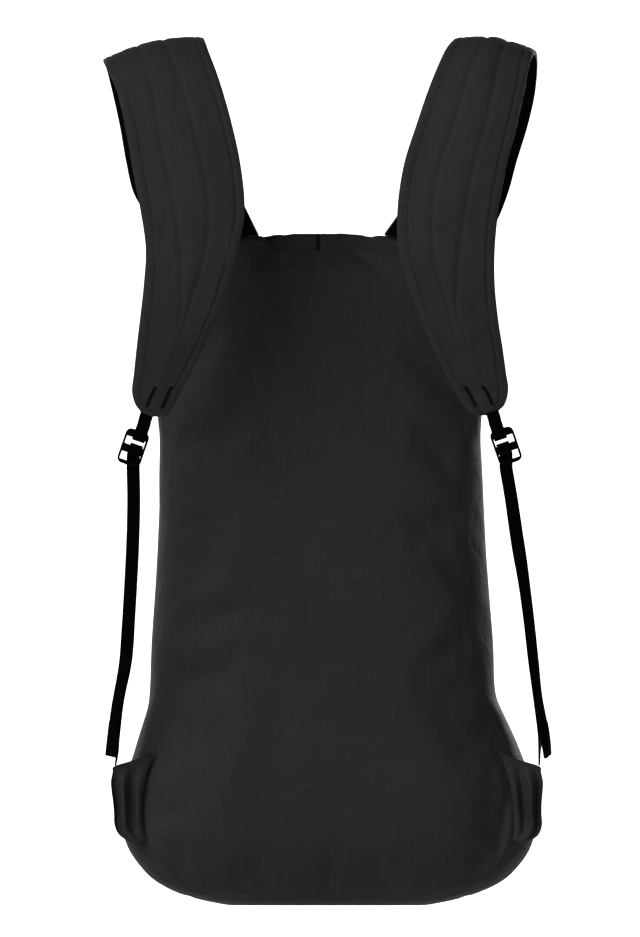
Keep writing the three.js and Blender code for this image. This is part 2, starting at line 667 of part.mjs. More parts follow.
// Buckle: a flat frame with three bars, in its own plane, x across, y up and z towards the viewer.
function buckleGeometry() {
  const w = buckleWidth / 2 - buckleCorner;
  const h = buckleHeight / 2 - buckleCorner;
  const corners = [];
  for (const [x, y, turn] of [[w, -h, -90], [w, h, 0], [-w, h, 90], [-w, -h, 180]]) {
    for (const step of [0, 30, 60, 90]) {
      const angle = THREE.MathUtils.degToRad(turn + step);
      const away = new THREE.Vector2(Math.cos(angle), Math.sin(angle));
      corners.push(away.multiplyScalar(buckleCorner).add(new THREE.Vector2(x, y)));
    }
  }
  const plate = new THREE.ExtrudeGeometry(new THREE.Shape(corners), {
    depth: buckleThickness, bevelEnabled: false,
  });
  plate.translate(0, 0, -buckleThickness / 2);
  let solid = solidOf(plate);
  for (const low of [lowerSlotFoot, upperSlotFoot]) {
    const slot = new THREE.BoxGeometry(slotWidth, slotHeight, buckleThickness * 2);
    slot.translate(0, low + slotHeight / 2, 0);
    solid = solid.subtract(solidOf(slot));
  }
  return cutGeometry(solid);
}

// Where a strap ends: the middle of its last row, and the way on from there.
function strapTip(side) {
  const { grid } = strapGrid(side);
  const row = grid[strapSteps];
  const middle = row[0].clone().lerp(row[row.length - 1], 0.5);
  const across = row[row.length - 1].clone().sub(row[0]).multiplyScalar(-side).normalize();
  const down = new THREE.Vector3(0, 1, 0).cross(across);
  if (down.z > 0) down.negate();
  return { middle, across, down };
}

// A buckle's own axes, and a point given in them.
function buckleFrame(side) {
  const tip = strapTip(side);
  const angle = THREE.MathUtils.degToRad(tipToBuckleAngle);
  const centre = tip.middle.clone().add(new THREE.Vector3(
    side * Math.sin(angle) * tipToBuckle, 0, -Math.cos(angle) * tipToBuckle,
  ));
  const tilt = THREE.MathUtils.degToRad(buckleTilt) * side;
  const up = new THREE.Vector3(-Math.sin(tilt), 0, Math.cos(tilt));
  const out = new THREE.Vector3(0, -1, 0);
  const across = up.clone().cross(out);
  const at = (x, y, z) => {
    const spot = centre.clone().addScaledVector(across, x);
    return spot.addScaledVector(up, y).addScaledVector(out, z);
  };
  return { centre, up, out, across, at };
}

// Rounds the corners of a path in a buckle's side view. Each corner is [height, outward].
function roundPath(corners, radius, steps) {
  const points = [new THREE.Vector2(...corners[0])];
  for (let n = 1; n < corners.length - 1; n += 1) {
    const before = new THREE.Vector2(...corners[n - 1]);
    const here = new THREE.Vector2(...corners[n]);
    const after = new THREE.Vector2(...corners[n + 1]);
    const reach = Math.min(radius, here.distanceTo(before) * 0.48, here.distanceTo(after) * 0.48);
    const from = here.clone().add(before.sub(here).setLength(reach));
    const to = here.clone().add(after.sub(here).setLength(reach));
    for (let s = 0; s <= steps; s += 1) {
      const t = s / steps;
      const p = from.clone().multiplyScalar((1 - t) ** 2);
      p.addScaledVector(here, 2 * t * (1 - t)).addScaledVector(to, t * t);
      points.push(p);
    }
  }
  points.push(new THREE.Vector2(...corners[corners.length - 1]));
  return points;
}

// A ribbon from stations, each with a middle, a way across and a thickness.
function ribbonGeometry(stations) {
  const grid = stations.map(({ middle, across }) => [
    middle.clone().addScaledVector(across, -webbingWidth / 2),
    middle.clone().addScaledVector(across, webbingWidth / 2),
  ]);
  return sheetGeometry(grid, (i) => stations[i].thickness ?? webbingThickness);
}

const stand = fitGap + webbingThickness / 2;
const barFace = buckleThickness / 2 + stand;
const bend = webbingThickness * 0.95;
const slotPlay = (slotWidth - webbingWidth) / 2 - fitGap;

// Tip webbing: both ends lie at the strap's tip, and its loop goes round the top bar.
function tipWebbingGeometry(side) {
  const tip = strapTip(side);
  const frame = buckleFrame(side);
  const pair = (webbingThickness + fitGap) / 2;
  const start = tip.middle.clone().addScaledVector(tip.down, fitGap + 0.3);
  const meet = buckleHeight / 2 + barFace * 1.8;
  const part = buckleHeight / 2 + webbingThickness;
  const local = roundPath([
    [meet, pair], [part, barFace], [topBarFoot - stand, barFace],
    [topBarFoot - stand, -barFace], [part, -barFace], [meet, -pair],
  ], bend, 3);
  const stations = [];
  const add = (middle, across) => stations.push({ middle, across });
  const frontEnd = start.clone().addScaledVector(frame.out, pair);
  const backEnd = start.clone().addScaledVector(frame.out, -pair);
  const joint = frame.at(-side * slotPlay, meet, 0);
  const half = start.clone().lerp(joint, 0.5).addScaledVector(tip.down, 1.5);
  const tilted = tip.across.clone().lerp(frame.across, 0.5).normalize();
  add(frontEnd, tip.across);
  add(half.clone().addScaledVector(frame.out, pair), tilted);
  for (const spot of local) add(frame.at(-side * slotPlay, spot.x, spot.y), frame.across);
  add(half.clone().addScaledVector(frame.out, -pair), tilted);
  add(backEnd, tip.across);
  return ribbonGeometry(stations);
}

// Adjuster webbing: from the wing up behind the buckle, through the upper slot, over the middle
// bar, back through the lower slot and down as a free tail with a folded hem.
function wingAnchor(side) {
  const top = wingTop - wingHeight * 0.14;
  const { point } = seamPlace(side, top / bagHeight);
  const reach = wingReach * readTable(wingOutline, 'along', 'reach', 0.86);
  return new THREE.Vector3(
    point.x + side * (reach - anchorInset),
    point.y - wingThickness - 1.5,
    top + webbingThickness,
  );
}

function adjusterGeometry(side) {
  const frame = buckleFrame(side);
  const rows = webbingRows[side < 0 ? 'left' : 'right'];
  const anchor = wingAnchor(side);
  const behind = barFace + webbingThickness + fitGap;
  const exit = -buckleHeight / 2 - 2;
  const level = new THREE.Vector3(1, 0, 0);

  // Below the middle bar the strands hang upright, although the buckle leans.
  const hang = (height) => {
    const below = Math.max(middleBarFoot - stand - height, 0);
    const lean = smooth(0, middleBarFoot - exit, below);
    return {
      x: -side * (slotPlay + below * Math.tan(THREE.MathUtils.degToRad(buckleTilt))),
      across: frame.across.clone().lerp(level, lean).normalize(),
    };
  };
  const leave = hang(exit);
  const loadExit = frame.at(leave.x, exit, -behind);
  const tailExit = frame.at(leave.x, exit, -barFace);
  const line = (along, column) => {
    const spot = loadExit.clone().lerp(anchor, along);
    spot.x += side * readTable(rows, 'along', column, along) * webbingWidth;
    return spot;
  };
  const turned = (along, column) => {
    const turn = THREE.MathUtils.degToRad(readTable(rows, 'along', column, along));
    return {
      across: new THREE.Vector3(Math.cos(turn), side * Math.sin(turn), 0),
      ahead: new THREE.Vector3(side * Math.sin(turn), -Math.cos(turn), 0),
    };
  };
  const steps = 14;
  const stations = [];
  for (let n = 0; n <= steps; n += 1) {
    const along = 1 - n / steps;
    stations.push({ middle: line(along, 'load'), across: turned(along, 'turn').across });
  }
  const loop = roundPath([
    [exit, -behind], [middleBarFoot - stand, -behind], [upperSlotFoot + stand, -behind],
    [upperSlotFoot + stand, barFace], [middleBarFoot - stand, barFace],
    [middleBarFoot - stand, -barFace], [exit, -barFace],
  ], bend, 3);
  for (const spot of loop.slice(1, -1)) {
    const { x, across } = hang(spot.x);
    stations.push({ middle: frame.at(x, spot.x, spot.y), across });
  }
  const tailLength = 0.975;
  const hemStart = tailLength - hemLength / loadExit.distanceTo(anchor);
  const places = [];
  for (let n = 0; n <= steps; n += 1) places.push(hemStart * n / steps);
  places.push(hemStart + 0.004, tailLength);
  for (const along of places) {
    const { across, ahead } = turned(along, 'twist');
    const gap = webbingThickness + fitGap + tailStandOff * smooth(0.6, 0.95, along);
    const middle = along === 0 ? tailExit : line(along, 'tail').addScaledVector(ahead, gap);
    const thickness = along > hemStart ? webbingThickness * 1.8 : webbingThickness;
    stations.push({ middle, across, thickness });
  }
  return ribbonGeometry(stations);
}

// Zipper slider with its pull, lying on the coil near the top of the front.
function sliderGeometry() {
  const outline = new THREE.Shape();
  const w = sliderWidth / 2;
  const p = pullWidth / 2;
  outline.moveTo(-w, 0);
  outline.lineTo(-w * 0.7, sliderLength);
  outline.lineTo(w * 0.7, sliderLength);
  outline.lineTo(w, 0);
  outline.lineTo(p, -2);
  outline.lineTo(p, -pullLength);
  outline.lineTo(-p, -pullLength);
  outline.lineTo(-p, -2);
  outline.closePath();
  return new THREE.ExtrudeGeometry(outline, { depth: sliderThickness, bevelEnabled: false });
}

function placeSlider(mesh) {
  const place = 0.8;
  const line = { share: 0 };
  const point = bagPoint(line, 1, place);
  const up = bagPoint(line, 1, place + 0.03).sub(bagPoint(line, 1, place - 0.06)).normalize();
  const out = new THREE.Vector3(1, 0, 0).cross(up).negate().normalize();
  if (out.y < 0) out.negate();
  const across = up.clone().cross(out);
  mesh.position.copy(point.addScaledVector(out, coilRise + fitGap + 0.3));
  mesh.quaternion.setFromRotationMatrix(new THREE.Matrix4().makeBasis(across, up, out));
}

// Materials.
const cloth = { color: 0x26272a, roughness: 0.82, metalness: 0 };
const strapCloth = { color: 0x2a2b2e, roughness: 0.85, metalness: 0 };
const webbing = { color: 0x0d0d0f, roughness: 0.75, metalness: 0 };
const plastic = { color: 0x0b0b0c, roughness: 0.45, metalness: 0 };

const harness = new THREE.Group();
const bag = new THREE.Group();

function addMesh(parent, name, geometry, look) {
  const mesh = new THREE.Mesh(geometry, new THREE.MeshStandardMaterial(look));
  mesh.name = name;
  parent.add(mesh);
  return mesh;
}

addMesh(bag, 'back_panel', panelGeometry(isBack), cloth);
addMesh(bag, 'front_panel', panelGeometry(isFront), cloth);
addMesh(bag, 'side_panel_left', panelGeometry(isSide('left')), cloth);
addMesh(bag, 'side_panel_right', panelGeometry(isSide('right')), cloth);
addMesh(bag, 'base_panel', panelGeometry(isBase), cloth);
addMesh(bag, 'zipper', panelGeometry(isZipper, coilLift), webbing);
placeSlider(addMesh(bag, 'zipper_slider', sliderGeometry(), plastic));
for (const [name, side] of [['left', -1], ['right', 1]]) {
  addMesh(bag, `corner_wing_${name}`, wingGeometry(side), cloth);
  addMesh(harness, `strap_${name}`, strapGeometry(side), strapCloth);
  addMesh(harness, `tip_webbing_${name}`, tipWebbingGeometry(side), webbing);
  addMesh(harness, `adjuster_webbing_${name}`, adjusterGeometry(side), webbing);
  const frame = buckleFrame(side);
  const buckle = addMesh(harness, `buckle_${name}`, buckleGeometry(), plastic);
  buckle.position.copy(frame.centre);
  buckle.quaternion.setFromRotationMatrix(new THREE.Matrix4().makeBasis(frame.across, frame.up, frame.out));
}

const apex = strapRows.left[6];
const pack = new THREE.Group();
pack.add(bag, harness);
pack.position.set(
  0,
  apex.fore * archDepth,
  padThickness / 2 - apex.up * archHeight - strapCrown,
);
const group = new THREE.Group();
group.add(pack);
group.updateMatrixWorld(true);

export default group;
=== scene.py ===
"""Looks of the packable backpack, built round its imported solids. Lengths in the tables follow
the named sizes below, in millimetres; the scene itself is in metres."""

import math

import bmesh
import bpy
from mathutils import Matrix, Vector, noise


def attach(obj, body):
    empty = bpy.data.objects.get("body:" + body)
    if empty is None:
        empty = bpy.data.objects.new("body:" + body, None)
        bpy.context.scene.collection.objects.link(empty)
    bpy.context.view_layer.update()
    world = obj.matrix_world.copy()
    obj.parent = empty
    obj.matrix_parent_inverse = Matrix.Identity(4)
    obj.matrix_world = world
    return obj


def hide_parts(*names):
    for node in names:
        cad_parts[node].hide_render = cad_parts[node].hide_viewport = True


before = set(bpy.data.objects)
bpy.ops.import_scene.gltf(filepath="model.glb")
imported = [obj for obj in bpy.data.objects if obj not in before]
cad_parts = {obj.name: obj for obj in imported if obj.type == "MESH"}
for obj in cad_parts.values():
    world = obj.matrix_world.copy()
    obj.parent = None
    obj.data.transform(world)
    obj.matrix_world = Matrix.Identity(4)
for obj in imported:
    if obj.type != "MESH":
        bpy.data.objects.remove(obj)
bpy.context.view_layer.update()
scene = bpy.context.scene

# Sizes, the same as the solids'.
BAG_HEIGHT = 482.0
BAG_WIDTH = 298.0
BAG_DEPTH = 155.0
CLOTH_WALL = 1.6
BACK_BULGE = 5.0
TOP_SLOPE = 34.0
TOP_DOME = 5.0
SCOOP_WIDTH = 84.0
SCOOP_DEPTH = 10.0
BASE_SEAM = 6.0
ZIPPER_WIDTH = 26.0
ZIPPER_LENGTH = 250.0
WING_HEIGHT = 62.0
WING_REACH = 23.0
WING_TOP = 110.0
WING_THICKNESS = 2.0
PLEAT_DEPTH = 2.6
PLEAT_COUNT = 2
STRAP_SPAN = 157.0
ARCH_HEIGHT = 620.0
ARCH_DEPTH = 88.0
PAD_THICKNESS = 10.0
STRAP_EDGE = 3.2
STITCH_INSET = 7.0
QUILT_DEPTH = 2.4
ROOT_INNER = 46.0
ROOT_DROP = 34.0
STRAP_CROWN = 4.5
WEBBING_WIDTH = 9.5
WEBBING_THICKNESS = 1.3
HEM_LENGTH = 26.0
BUCKLE_HEIGHT = 26.0
BUCKLE_THICKNESS = 4.0
TOP_BAR = 6.0
MIDDLE_BAR = 6.0
BOTTOM_BAR = 3.0
SLOT_WIDTH = 14.0
BUCKLE_TILT = 19.0
TIP_TO_BUCKLE = 26.0
TIP_TO_BUCKLE_ANGLE = 22.0
TAIL_STAND_OFF = 4.5
ANCHOR_INSET = 0.7
FIT_GAP = 0.4
APEX_UP = 0.988
APEX_FORE = 0.47
SIDES = ((-1, "left"), (1, "right"))
ORIGIN = Vector((0, APEX_FORE * ARCH_DEPTH, PAD_THICKNESS / 2 - APEX_UP * ARCH_HEIGHT - STRAP_CROWN))

# Sections of the bag: up as a share of its height, wide and shift of its width, back and front
# of its depth.
BAG_SECTIONS = [
    (0.000, 0.490, 0.013, 0.170, 0.800), (0.009, 0.635, 0.013, 0.110, 0.870),
    (0.024, 0.775, 0.015, 0.065, 0.920), (0.039, 0.853, 0.016, 0.040, 0.945),
    (0.054, 0.899, 0.017, 0.025, 0.960), (0.076, 0.955, 0.018, 0.012, 0.980),
    (0.106, 0.995, 0.017, 0.002, 0.995), (0.143, 1.000, 0.014, 0.000, 1.000),
    (0.188, 0.980, 0.012, 0.000, 1.000), (0.233, 0.928, 0.011, 0.005, 0.985),
    (0.278, 0.874, 0.007, 0.012, 0.970), (0.323, 0.838, 0.002, 0.015, 0.955),
    (0.398, 0.824, 0.001, 0.015, 0.935), (0.487, 0.802, 0.000, 0.012, 0.905),
    (0.577, 0.786, -0.001, 0.010, 0.870), (0.682, 0.780, -0.004, 0.010, 0.825),
    (0.756, 0.787, -0.006, 0.010, 0.790), (0.831, 0.787, -0.006, 0.015, 0.745),
    (0.891, 0.775, -0.006, 0.020, 0.690), (0.936, 0.740, -0.007, 0.030, 0.620),
    (0.963, 0.690, -0.008, 0.040, 0.555), (0.984, 0.600, -0.009, 0.055, 0.480),
    (1.000, 0.460, -0.010, 0.075, 0.400),
]
# Soft folds: face (-1 back, 1 front), x as a share of half the bag's width, up and long of its
# height, broad of its width, deep of its depth, and lean from upright in degrees.
BAG_FOLDS = [
    (-1, -0.78, 0.130, 0.10, 0.045, -0.024, 62), (-1, -0.66, 0.200, 0.12, 0.050, -0.020, 35),
    (-1, -0.40, 0.235, 0.13, 0.070, 0.018, 15), (-1, 0.80, 0.110, 0.10, 0.045, -0.026, -58),
    (-1, 0.70, 0.190, 0.12, 0.050, -0.020, -32), (-1, 0.38, 0.090, 0.09, 0.060, 0.016, -70),
    (-1, -0.62, 0.700, 0.16, 0.055, -0.022, -6), (-1, 0.60, 0.690, 0.16, 0.055, -0.022, 6),
    (1, -0.55, 0.300, 0.16, 0.080, -0.040, 20), (1, 0.58, 0.340, 0.15, 0.080, -0.040, -24),
    (1, 0.45, 0.700, 0.13, 0.070, -0.035, 30), (1, -0.48, 0.760, 0.12, 0.070, -0.030, -28),
]
# Outline of a wing: along as a share of its height from the bottom, reach as one of WING_REACH.
WING_OUTLINE = [
    (0.00, 0.30), (0.06, 0.60), (0.11, 0.77), (0.22, 0.88), (0.34, 0.89), (0.46, 0.93),
    (0.57, 1.00), (0.69, 1.08), (0.80, 1.10), (0.86, 1.12), (0.92, 0.60), (1.00, 0.10),
]
# Edges of the straps from above the root to the tip: up and drop as shares of ARCH_HEIGHT, outer
# and inner of STRAP_SPAN, fore of ARCH_DEPTH. drop is how much lower the outer edge lies.
STRAP_ROWS = {
    -1: [
        (0.805, 0.0140, 0.798, 0.353, -0.03), (0.832, 0.0070, 0.865, 0.394, -0.03),
        (0.866, 0.0020, 0.899, 0.427, -0.02), (0.907, 0.0050, 0.926, 0.459, 0.01),
        (0.948, 0.0120, 0.959, 0.491, 0.10), (0.979, 0.0210, 0.988, 0.523, 0.26),
        (0.988, 0.0255, 1.000, 0.541, 0.47), (0.977, 0.0220, 0.979, 0.521, 0.68),
        (0.948, 0.0140, 0.933, 0.468, 0.84), (0.907, 0.0060, 0.899, 0.415, 0.93),
        (0.860, 0.0000, 0.869, 0.372, 0.97), (0.808, 0.0000, 0.830, 0.353, 1.00),
        (0.762, 0.0000, 0.805, 0.381, 1.00), (0.721, 0.0000, 0.814, 0.427, 0.98),
        (0.680, 0.0000, 0.832, 0.486, 0.95), (0.646, 0.0000, 0.848, 0.546, 0.90),
        (0.617, 0.0000, 0.860, 0.603, 0.85), (0.597, 0.0000, 0.868, 0.646, 0.81),
        (0.584, 0.0000, 0.855, 0.670, 0.79), (0.574, -0.0087, 0.839, 0.706, 0.775),
        (0.571, -0.0058, 0.829, 0.772, 0.77),
    ],
    1: [
        (0.799, 0.0120, 0.798, 0.353, -0.03), (0.832, 0.0060, 0.855, 0.404, -0.03),
        (0.866, 0.0020, 0.894, 0.440, -0.02), (0.907, 0.0040, 0.942, 0.495, 0.01),
        (0.948, 0.0090, 0.977, 0.546, 0.10), (0.980, 0.0140, 0.986, 0.587, 0.26),
        (0.993, 0.0140, 0.975, 0.610, 0.47), (0.982, 0.0105, 0.954, 0.564, 0.68),
        (0.948, 0.0060, 0.924, 0.495, 0.84), (0.907, 0.0000, 0.890, 0.433, 0.93),
        (0.860, 0.0000, 0.844, 0.374, 0.97), (0.808, 0.0000, 0.807, 0.344, 1.00),
        (0.762, 0.0000, 0.789, 0.349, 1.00), (0.721, 0.0000, 0.789, 0.392, 0.98),
        (0.680, 0.0000, 0.805, 0.454, 0.95), (0.646, 0.0000, 0.826, 0.507, 0.90),
        (0.617, 0.0000, 0.842, 0.564, 0.85), (0.600, 0.0000, 0.851, 0.600, 0.81),
        (0.585, 0.0000, 0.839, 0.635, 0.79), (0.575, -0.0087, 0.821, 0.688, 0.775),
        (0.573, -0.0070, 0.807, 0.750, 0.77),
    ],
}
# Quilting: along, the outer and the inner line as shares of the strap's width, and depth as a
# share of QUILT_DEPTH.
QUILT_LINES = [
    (0.00, 0.35, 0.63, 0.0), (0.10, 0.34, 0.63, 0.6), (0.36, 0.35, 0.61, 1.0),
    (0.48, 0.31, 0.63, 1.0), (0.57, 0.33, 0.66, 1.0), (0.65, 0.41, 0.63, 1.0),
    (0.71, 0.52, 0.60, 1.0), (0.76, 0.46, 0.64, 0.0), (1.00, 0.40, 0.60, 0.0),
]
# Padding: along, thickness as a share of PAD_THICKNESS.
PAD_PROFILE = [
    (0.00, 0.40), (0.08, 0.70), (0.18, 1.00), (0.84, 1.00), (0.93, 0.70), (0.97, 0.36), (1.00, 0.32),
]
# Adjuster webbing from the buckle to the wing: along, how far the strand that pulls and the free
# one are moved outward in webbing widths, and the turns of both in degrees.
WEBBING_ROWS = {
    -1: [
        (0.00, 0.000, 0.000, 0, 0), (0.10, -0.175, -0.175, 0, 0), (0.24, -0.295, -0.295, 0, 0),
        (0.37, -0.330, -0.330, 0, 0), (0.51, -0.335, -0.335, 0, 0), (0.65, -0.330, -0.350, 28, 28),
        (0.78, -0.020, -0.160, 50, 50), (0.90, 0.000, -0.080, 72, 40), (0.965, -0.080, 0.020, 86, 32),
        (1.00, 0.000, 0.040, 88, 30),
    ],
    1: [
        (0.00, 0.000, 0.000, 0, 0), (0.10, 0.140, 0.140, 0, 0), (0.24, 0.240, 0.240, 12, 12),
        (0.37, 0.350, 0.350, 42, 42), (0.51, 0.415, 0.415, 50, 50), (0.65, 0.410, 0.410, 54, 54),
        (0.78, 0.480, 0.220, 56, 54), (0.90, 0.420, 0.270, 72, 50), (0.965, 0.200, 0.220, 86, 62),
        (1.00, 0.100, 0.200, 88, 65),
    ],
}


def hermite(a, b, slope_a, slope_b, t):
    """A smooth curve from a to b, at a share t of the way."""
    return (a * (2 * t ** 3 - 3 * t ** 2 + 1) + slope_a * (t ** 3 - 2 * t ** 2 + t)
            + b * (3 * t ** 2 - 2 * t ** 3) + slope_b * (t ** 3 - t ** 2))


def read(rows, column, place):
    """One column of a table at a place between its rows, along a smooth curve."""
    last = len(rows) - 1
    i = 0
    while i < last - 1 and rows[i + 1][0] < place:
        i += 1

    def slope(k):
        a, b = rows[max(k - 1, 0)], rows[min(k + 1, last)]
        return (b[column] - a[column]) / (b[0] - a[0])

    span = rows[i + 1][0] - rows[i][0]
    t = min(max((place - rows[i][0]) / span, 0.0), 1.0)
    return hermite(rows[i][column], rows[i + 1][column], span * slope(i), span * slope(i + 1), t)


def smooth(low, high, value):
    t = min(max((value - low) / (high - low), 0.0), 1.0)
    return t * t * (3 - 2 * t)


# The bag's shape

def section_at(c):
    back, front = read(BAG_SECTIONS, 3, c) * BAG_DEPTH, read(BAG_SECTIONS, 4, c) * BAG_DEPTH
    return (read(BAG_SECTIONS, 1, c) * BAG_WIDTH / 2, read(BAG_SECTIONS, 2, c) * BAG_WIDTH,
            (back + front) / 2, (front - back) / 2)


def fold_at(face, x, up):
    push = 0.0
    for side, fx, fup, long, broad, deep, lean in BAG_FOLDS:
        if side != face:
            continue
        lean = math.radians(lean)
        dx, dz = x - fx * BAG_WIDTH / 2, (up - fup) * BAG_HEIGHT
        along = (dx * math.sin(lean) + dz * math.cos(lean)) / (long * BAG_HEIGHT)
        across = (dx * math.cos(lean) - dz * math.sin(lean)) / (broad * BAG_WIDTH)
        push += deep * BAG_DEPTH * math.exp(-across ** 2 * 2 - along ** 2 * 2)
    return push


def bag_point(line, b, c):
    """line is (share, mm): one of the two is None."""
    half_width, centre_x, centre_y, half_depth = section_at(c)
    a = line[0] if line[1] is None else line[1] / half_width
    reach = max(abs(a), abs(b))
    x, y, from_back = centre_x, centre_y, 0.5
    if reach > 0:
        roundness = 4.5 - 1.5 * (b / reach)
        size = (abs(a / reach) ** roundness + abs(b / reach) ** roundness) ** (1 / roundness)
        x += a / size * half_width
        y += b / size * half_depth
        from_back = (1 + b / size) / 2
    z = c * BAG_HEIGHT
    z -= TOP_SLOPE * smooth(0.7, 1, c) * smooth(0, 1.1, from_back) * min(from_back * 1.2, 1)
    if c == 1:
        z += TOP_DOME * (1 - a * a) * (1 - b * b)
    place = abs(x - centre_x) / (SCOOP_WIDTH / 2)
    scoop = (1 - smooth(0.68, 1.08, place)) * smooth(0.93, 1, c)
    z -= SCOOP_DEPTH * scoop * (1 - smooth(0.02, 0.2, from_back))
    if abs(b) == 1:
        flat = (1 - a * a) * smooth(0, 0.12, c) * (1 - smooth(0.86, 1, c))
        if b < 0:
            y -= BACK_BULGE * flat + fold_at(-1, x, c) * flat
        else:
            y += fold_at(1, x, c) * flat
    return Vector((x, y, z))


def seam_place(side, c):
    line, step = (side, None), 0.004
    point = bag_point(line, -1, c)
    run = (bag_point(line, -1, min(c + step, 1)) - bag_point(line, -1, max(c - step, 0))).normalized()
    outward = Vector((side, -1, 0)).normalized()
    outward -= run * outward.dot(run)
    return point, outward.normalized()


# Making meshes

def to_row(p):
    """From the millimetres of the tables to the row frame in metres."""
    return (Vector(p) + ORIGIN) * 0.001


def linked(name, data):
    obj = bpy.data.objects.new(name, data)
    scene.collection.objects.link(obj)
    return obj


def mesh_object(name, points, faces, uvs=None, metres=False):
    """A mesh in the row frame, from points in it in metres or from the tables' millimetres."""
    mesh = bpy.data.meshes.new(name)
    mesh.from_pydata(points if metres else [to_row(p) for p in points], [], faces)
    if uvs is not None:
        layer = mesh.uv_layers.new(name="UVMap")
        layer.data.foreach_set("uv", [c for face in uvs for uv in face for c in uv])
    mesh.update()
    return linked(name, mesh)


def finish_mesh(obj, levels=0, angle=None):
    """Applies a smooth subdivision and shades the mesh smooth."""
    if levels:
        mod = obj.modifiers.new("fine", "SUBSURF")
        mod.levels = mod.render_levels = levels
        bpy.context.view_layer.update()
        new = bpy.data.meshes.new_from_object(obj.evaluated_get(bpy.context.evaluated_depsgraph_get()))
        obj.modifiers.clear()
        old, obj.data = obj.data, new
        bpy.data.meshes.remove(old)
    for p in obj.data.polygons:
        p.use_smooth = True
    if angle is not None:
        obj.data.set_sharp_from_angle(angle=math.radians(angle))
    return obj


def place(obj, slot, material, nodes=()):
    obj.data.materials.clear()
    obj.data.materials.append(material)
    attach(obj, "root")
    if nodes:
        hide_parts(*nodes)
    return obj


# Materials

class NodeTree:
    """Short ways to add and to join the shader nodes of a material or of the world."""

    def __init__(self, owner):
        self.nodes, self.links = owner.node_tree.nodes, owner.node_tree.links

    def fill(self, socket, value):
        if isinstance(value, bpy.types.NodeSocket):
            self.links.new(value, socket)
        elif value is not None:
            socket.default_value = value

    def add(self, kind, inputs, **settings):
        """The outputs of a new node. Its inputs are values or outputs of other nodes."""
        node = self.nodes.new(kind)
        for key, value in settings.items():
            setattr(node, key, value)
        for key, value in inputs.items():
            self.fill(node.inputs[key], value)
        return node.outputs

    def math(self, operation, a, b=None, clamp=False):
        return self.add("ShaderNodeMath", {0: a, 1: b}, operation=operation, use_clamp=clamp)[0]

    def noise(self, where, scale, detail, distortion=0.0):
        inputs = {"Vector": where, "Scale": scale, "Detail": detail, "Distortion": distortion}
        return self.add("ShaderNodeTexNoise", inputs)[0]

    def cloth_place(self):
        """Both UV coordinates, in decimetres, and the pair of them."""
        uv = self.add("ShaderNodeUVMap", {}, uv_map="UVMap")[0]
        split = self.add("ShaderNodeSeparateXYZ", {0: uv})
        return split[0], split[1], uv

    def surface(self, colour, tone, height, strength, distance):
        """The shader's colour, made lighter and darker by a tone, and its relief."""
        shader = self.nodes["Principled BSDF"]
        grey = self.add("ShaderNodeCombineColor", {0: tone, 1: tone, 2: tone})[0]
        mixed = self.add("ShaderNodeMix", {"Factor": 1.0, "A": (*colour, 1), "B": grey},
                         data_type="RGBA", blend_type="MULTIPLY")
        self.fill(shader.inputs["Base Color"], mixed["Result"])
        bumps = {"Strength": strength, "Distance": distance, "Height": height}
        self.fill(shader.inputs["Normal"], self.add("ShaderNodeBump", bumps)[0])


def new_material(name, rough, specular):
    material = bpy.data.materials.new(name)
    material.use_nodes = True
    shader = material.node_tree.nodes["Principled BSDF"]
    shader.inputs["Roughness"].default_value = rough
    shader.inputs["Specular IOR Level"].default_value = specular
    return material, NodeTree(material)


# Half the breadth of a raised thread, as a share of the grid.
GRID_LINE = 0.11
# How often slubs come in a decimetre: along their thread, and across it.
SLUB_LONG = 2.2
SLUB_FINE = 95.0
CLOUD_SCALE = 1.3
CRUMPLE_SCALE = 5.0
# The darkest tone, and what slubs, raised grid and clouds add to it.
DARKEST, SLUB_TONE, GRID_TONE, CLOUD_TONE = 0.84, 0.30, 0.10, 0.16


def cloth_material(name, colour, rough, specular, grid=5.0, streak=1.0, crumple=1.0):
    """Ripstop cloth: a raised grid of this many millimetres, slubs on both threads, crumples."""
    material, tree = new_material(name, rough, specular)
    m = tree.math
    u, v, uv = tree.cloth_place()

    def lines(coordinate):
        cell = m("FRACT", m("MULTIPLY", coordinate, 100.0 / grid))
        from_line = m("ABSOLUTE", m("SUBTRACT", cell, 0.5))
        near = m("SUBTRACT", GRID_LINE, from_line, clamp=True)
        return m("MULTIPLY", near, 1 / GRID_LINE, clamp=True)

    def slubs(across, along, seed, low, high):
        at = {0: m("MULTIPLY", u, across), 1: m("MULTIPLY", v, along), 2: seed}
        spots = tree.noise(tree.add("ShaderNodeCombineXYZ", at)[0], 1.0, 2.0)
        return m("DIVIDE", m("SUBTRACT", spots, low, clamp=True), high - low, clamp=True)

    raised = m("MAXIMUM", lines(u), lines(v))
    level = slubs(SLUB_LONG, SLUB_FINE, 3.1, 0.56, 0.72)
    upright = slubs(SLUB_FINE, SLUB_LONG, 7.7, 0.56, 0.72)
    threads = m("MAXIMUM", level, upright)
    cloud = slubs(CLOUD_SCALE, CLOUD_SCALE, 1.3, 0.3, 0.7)
    tone = m("ADD", m("MULTIPLY", threads, SLUB_TONE * streak), m("MULTIPLY", raised, GRID_TONE))
    tone = m("ADD", m("ADD", tone, m("MULTIPLY", cloud, CLOUD_TONE)), DARKEST)
    crumples = tree.noise(uv, CRUMPLE_SCALE, 3.0, distortion=0.6)
    height = m("ADD", m("MULTIPLY", raised, 0.05), m("MULTIPLY", threads, 0.05 * streak))
    height = m("ADD", height, m("MULTIPLY", crumples, 1.1 * crumple))
    tree.surface(colour, tone, height, 0.55, 0.002)
    return material


# Millimetres from rib to rib across a woven band, and from cord to cord along it.
RIB_PITCH = 1.9
CORD_PITCH = 1.4


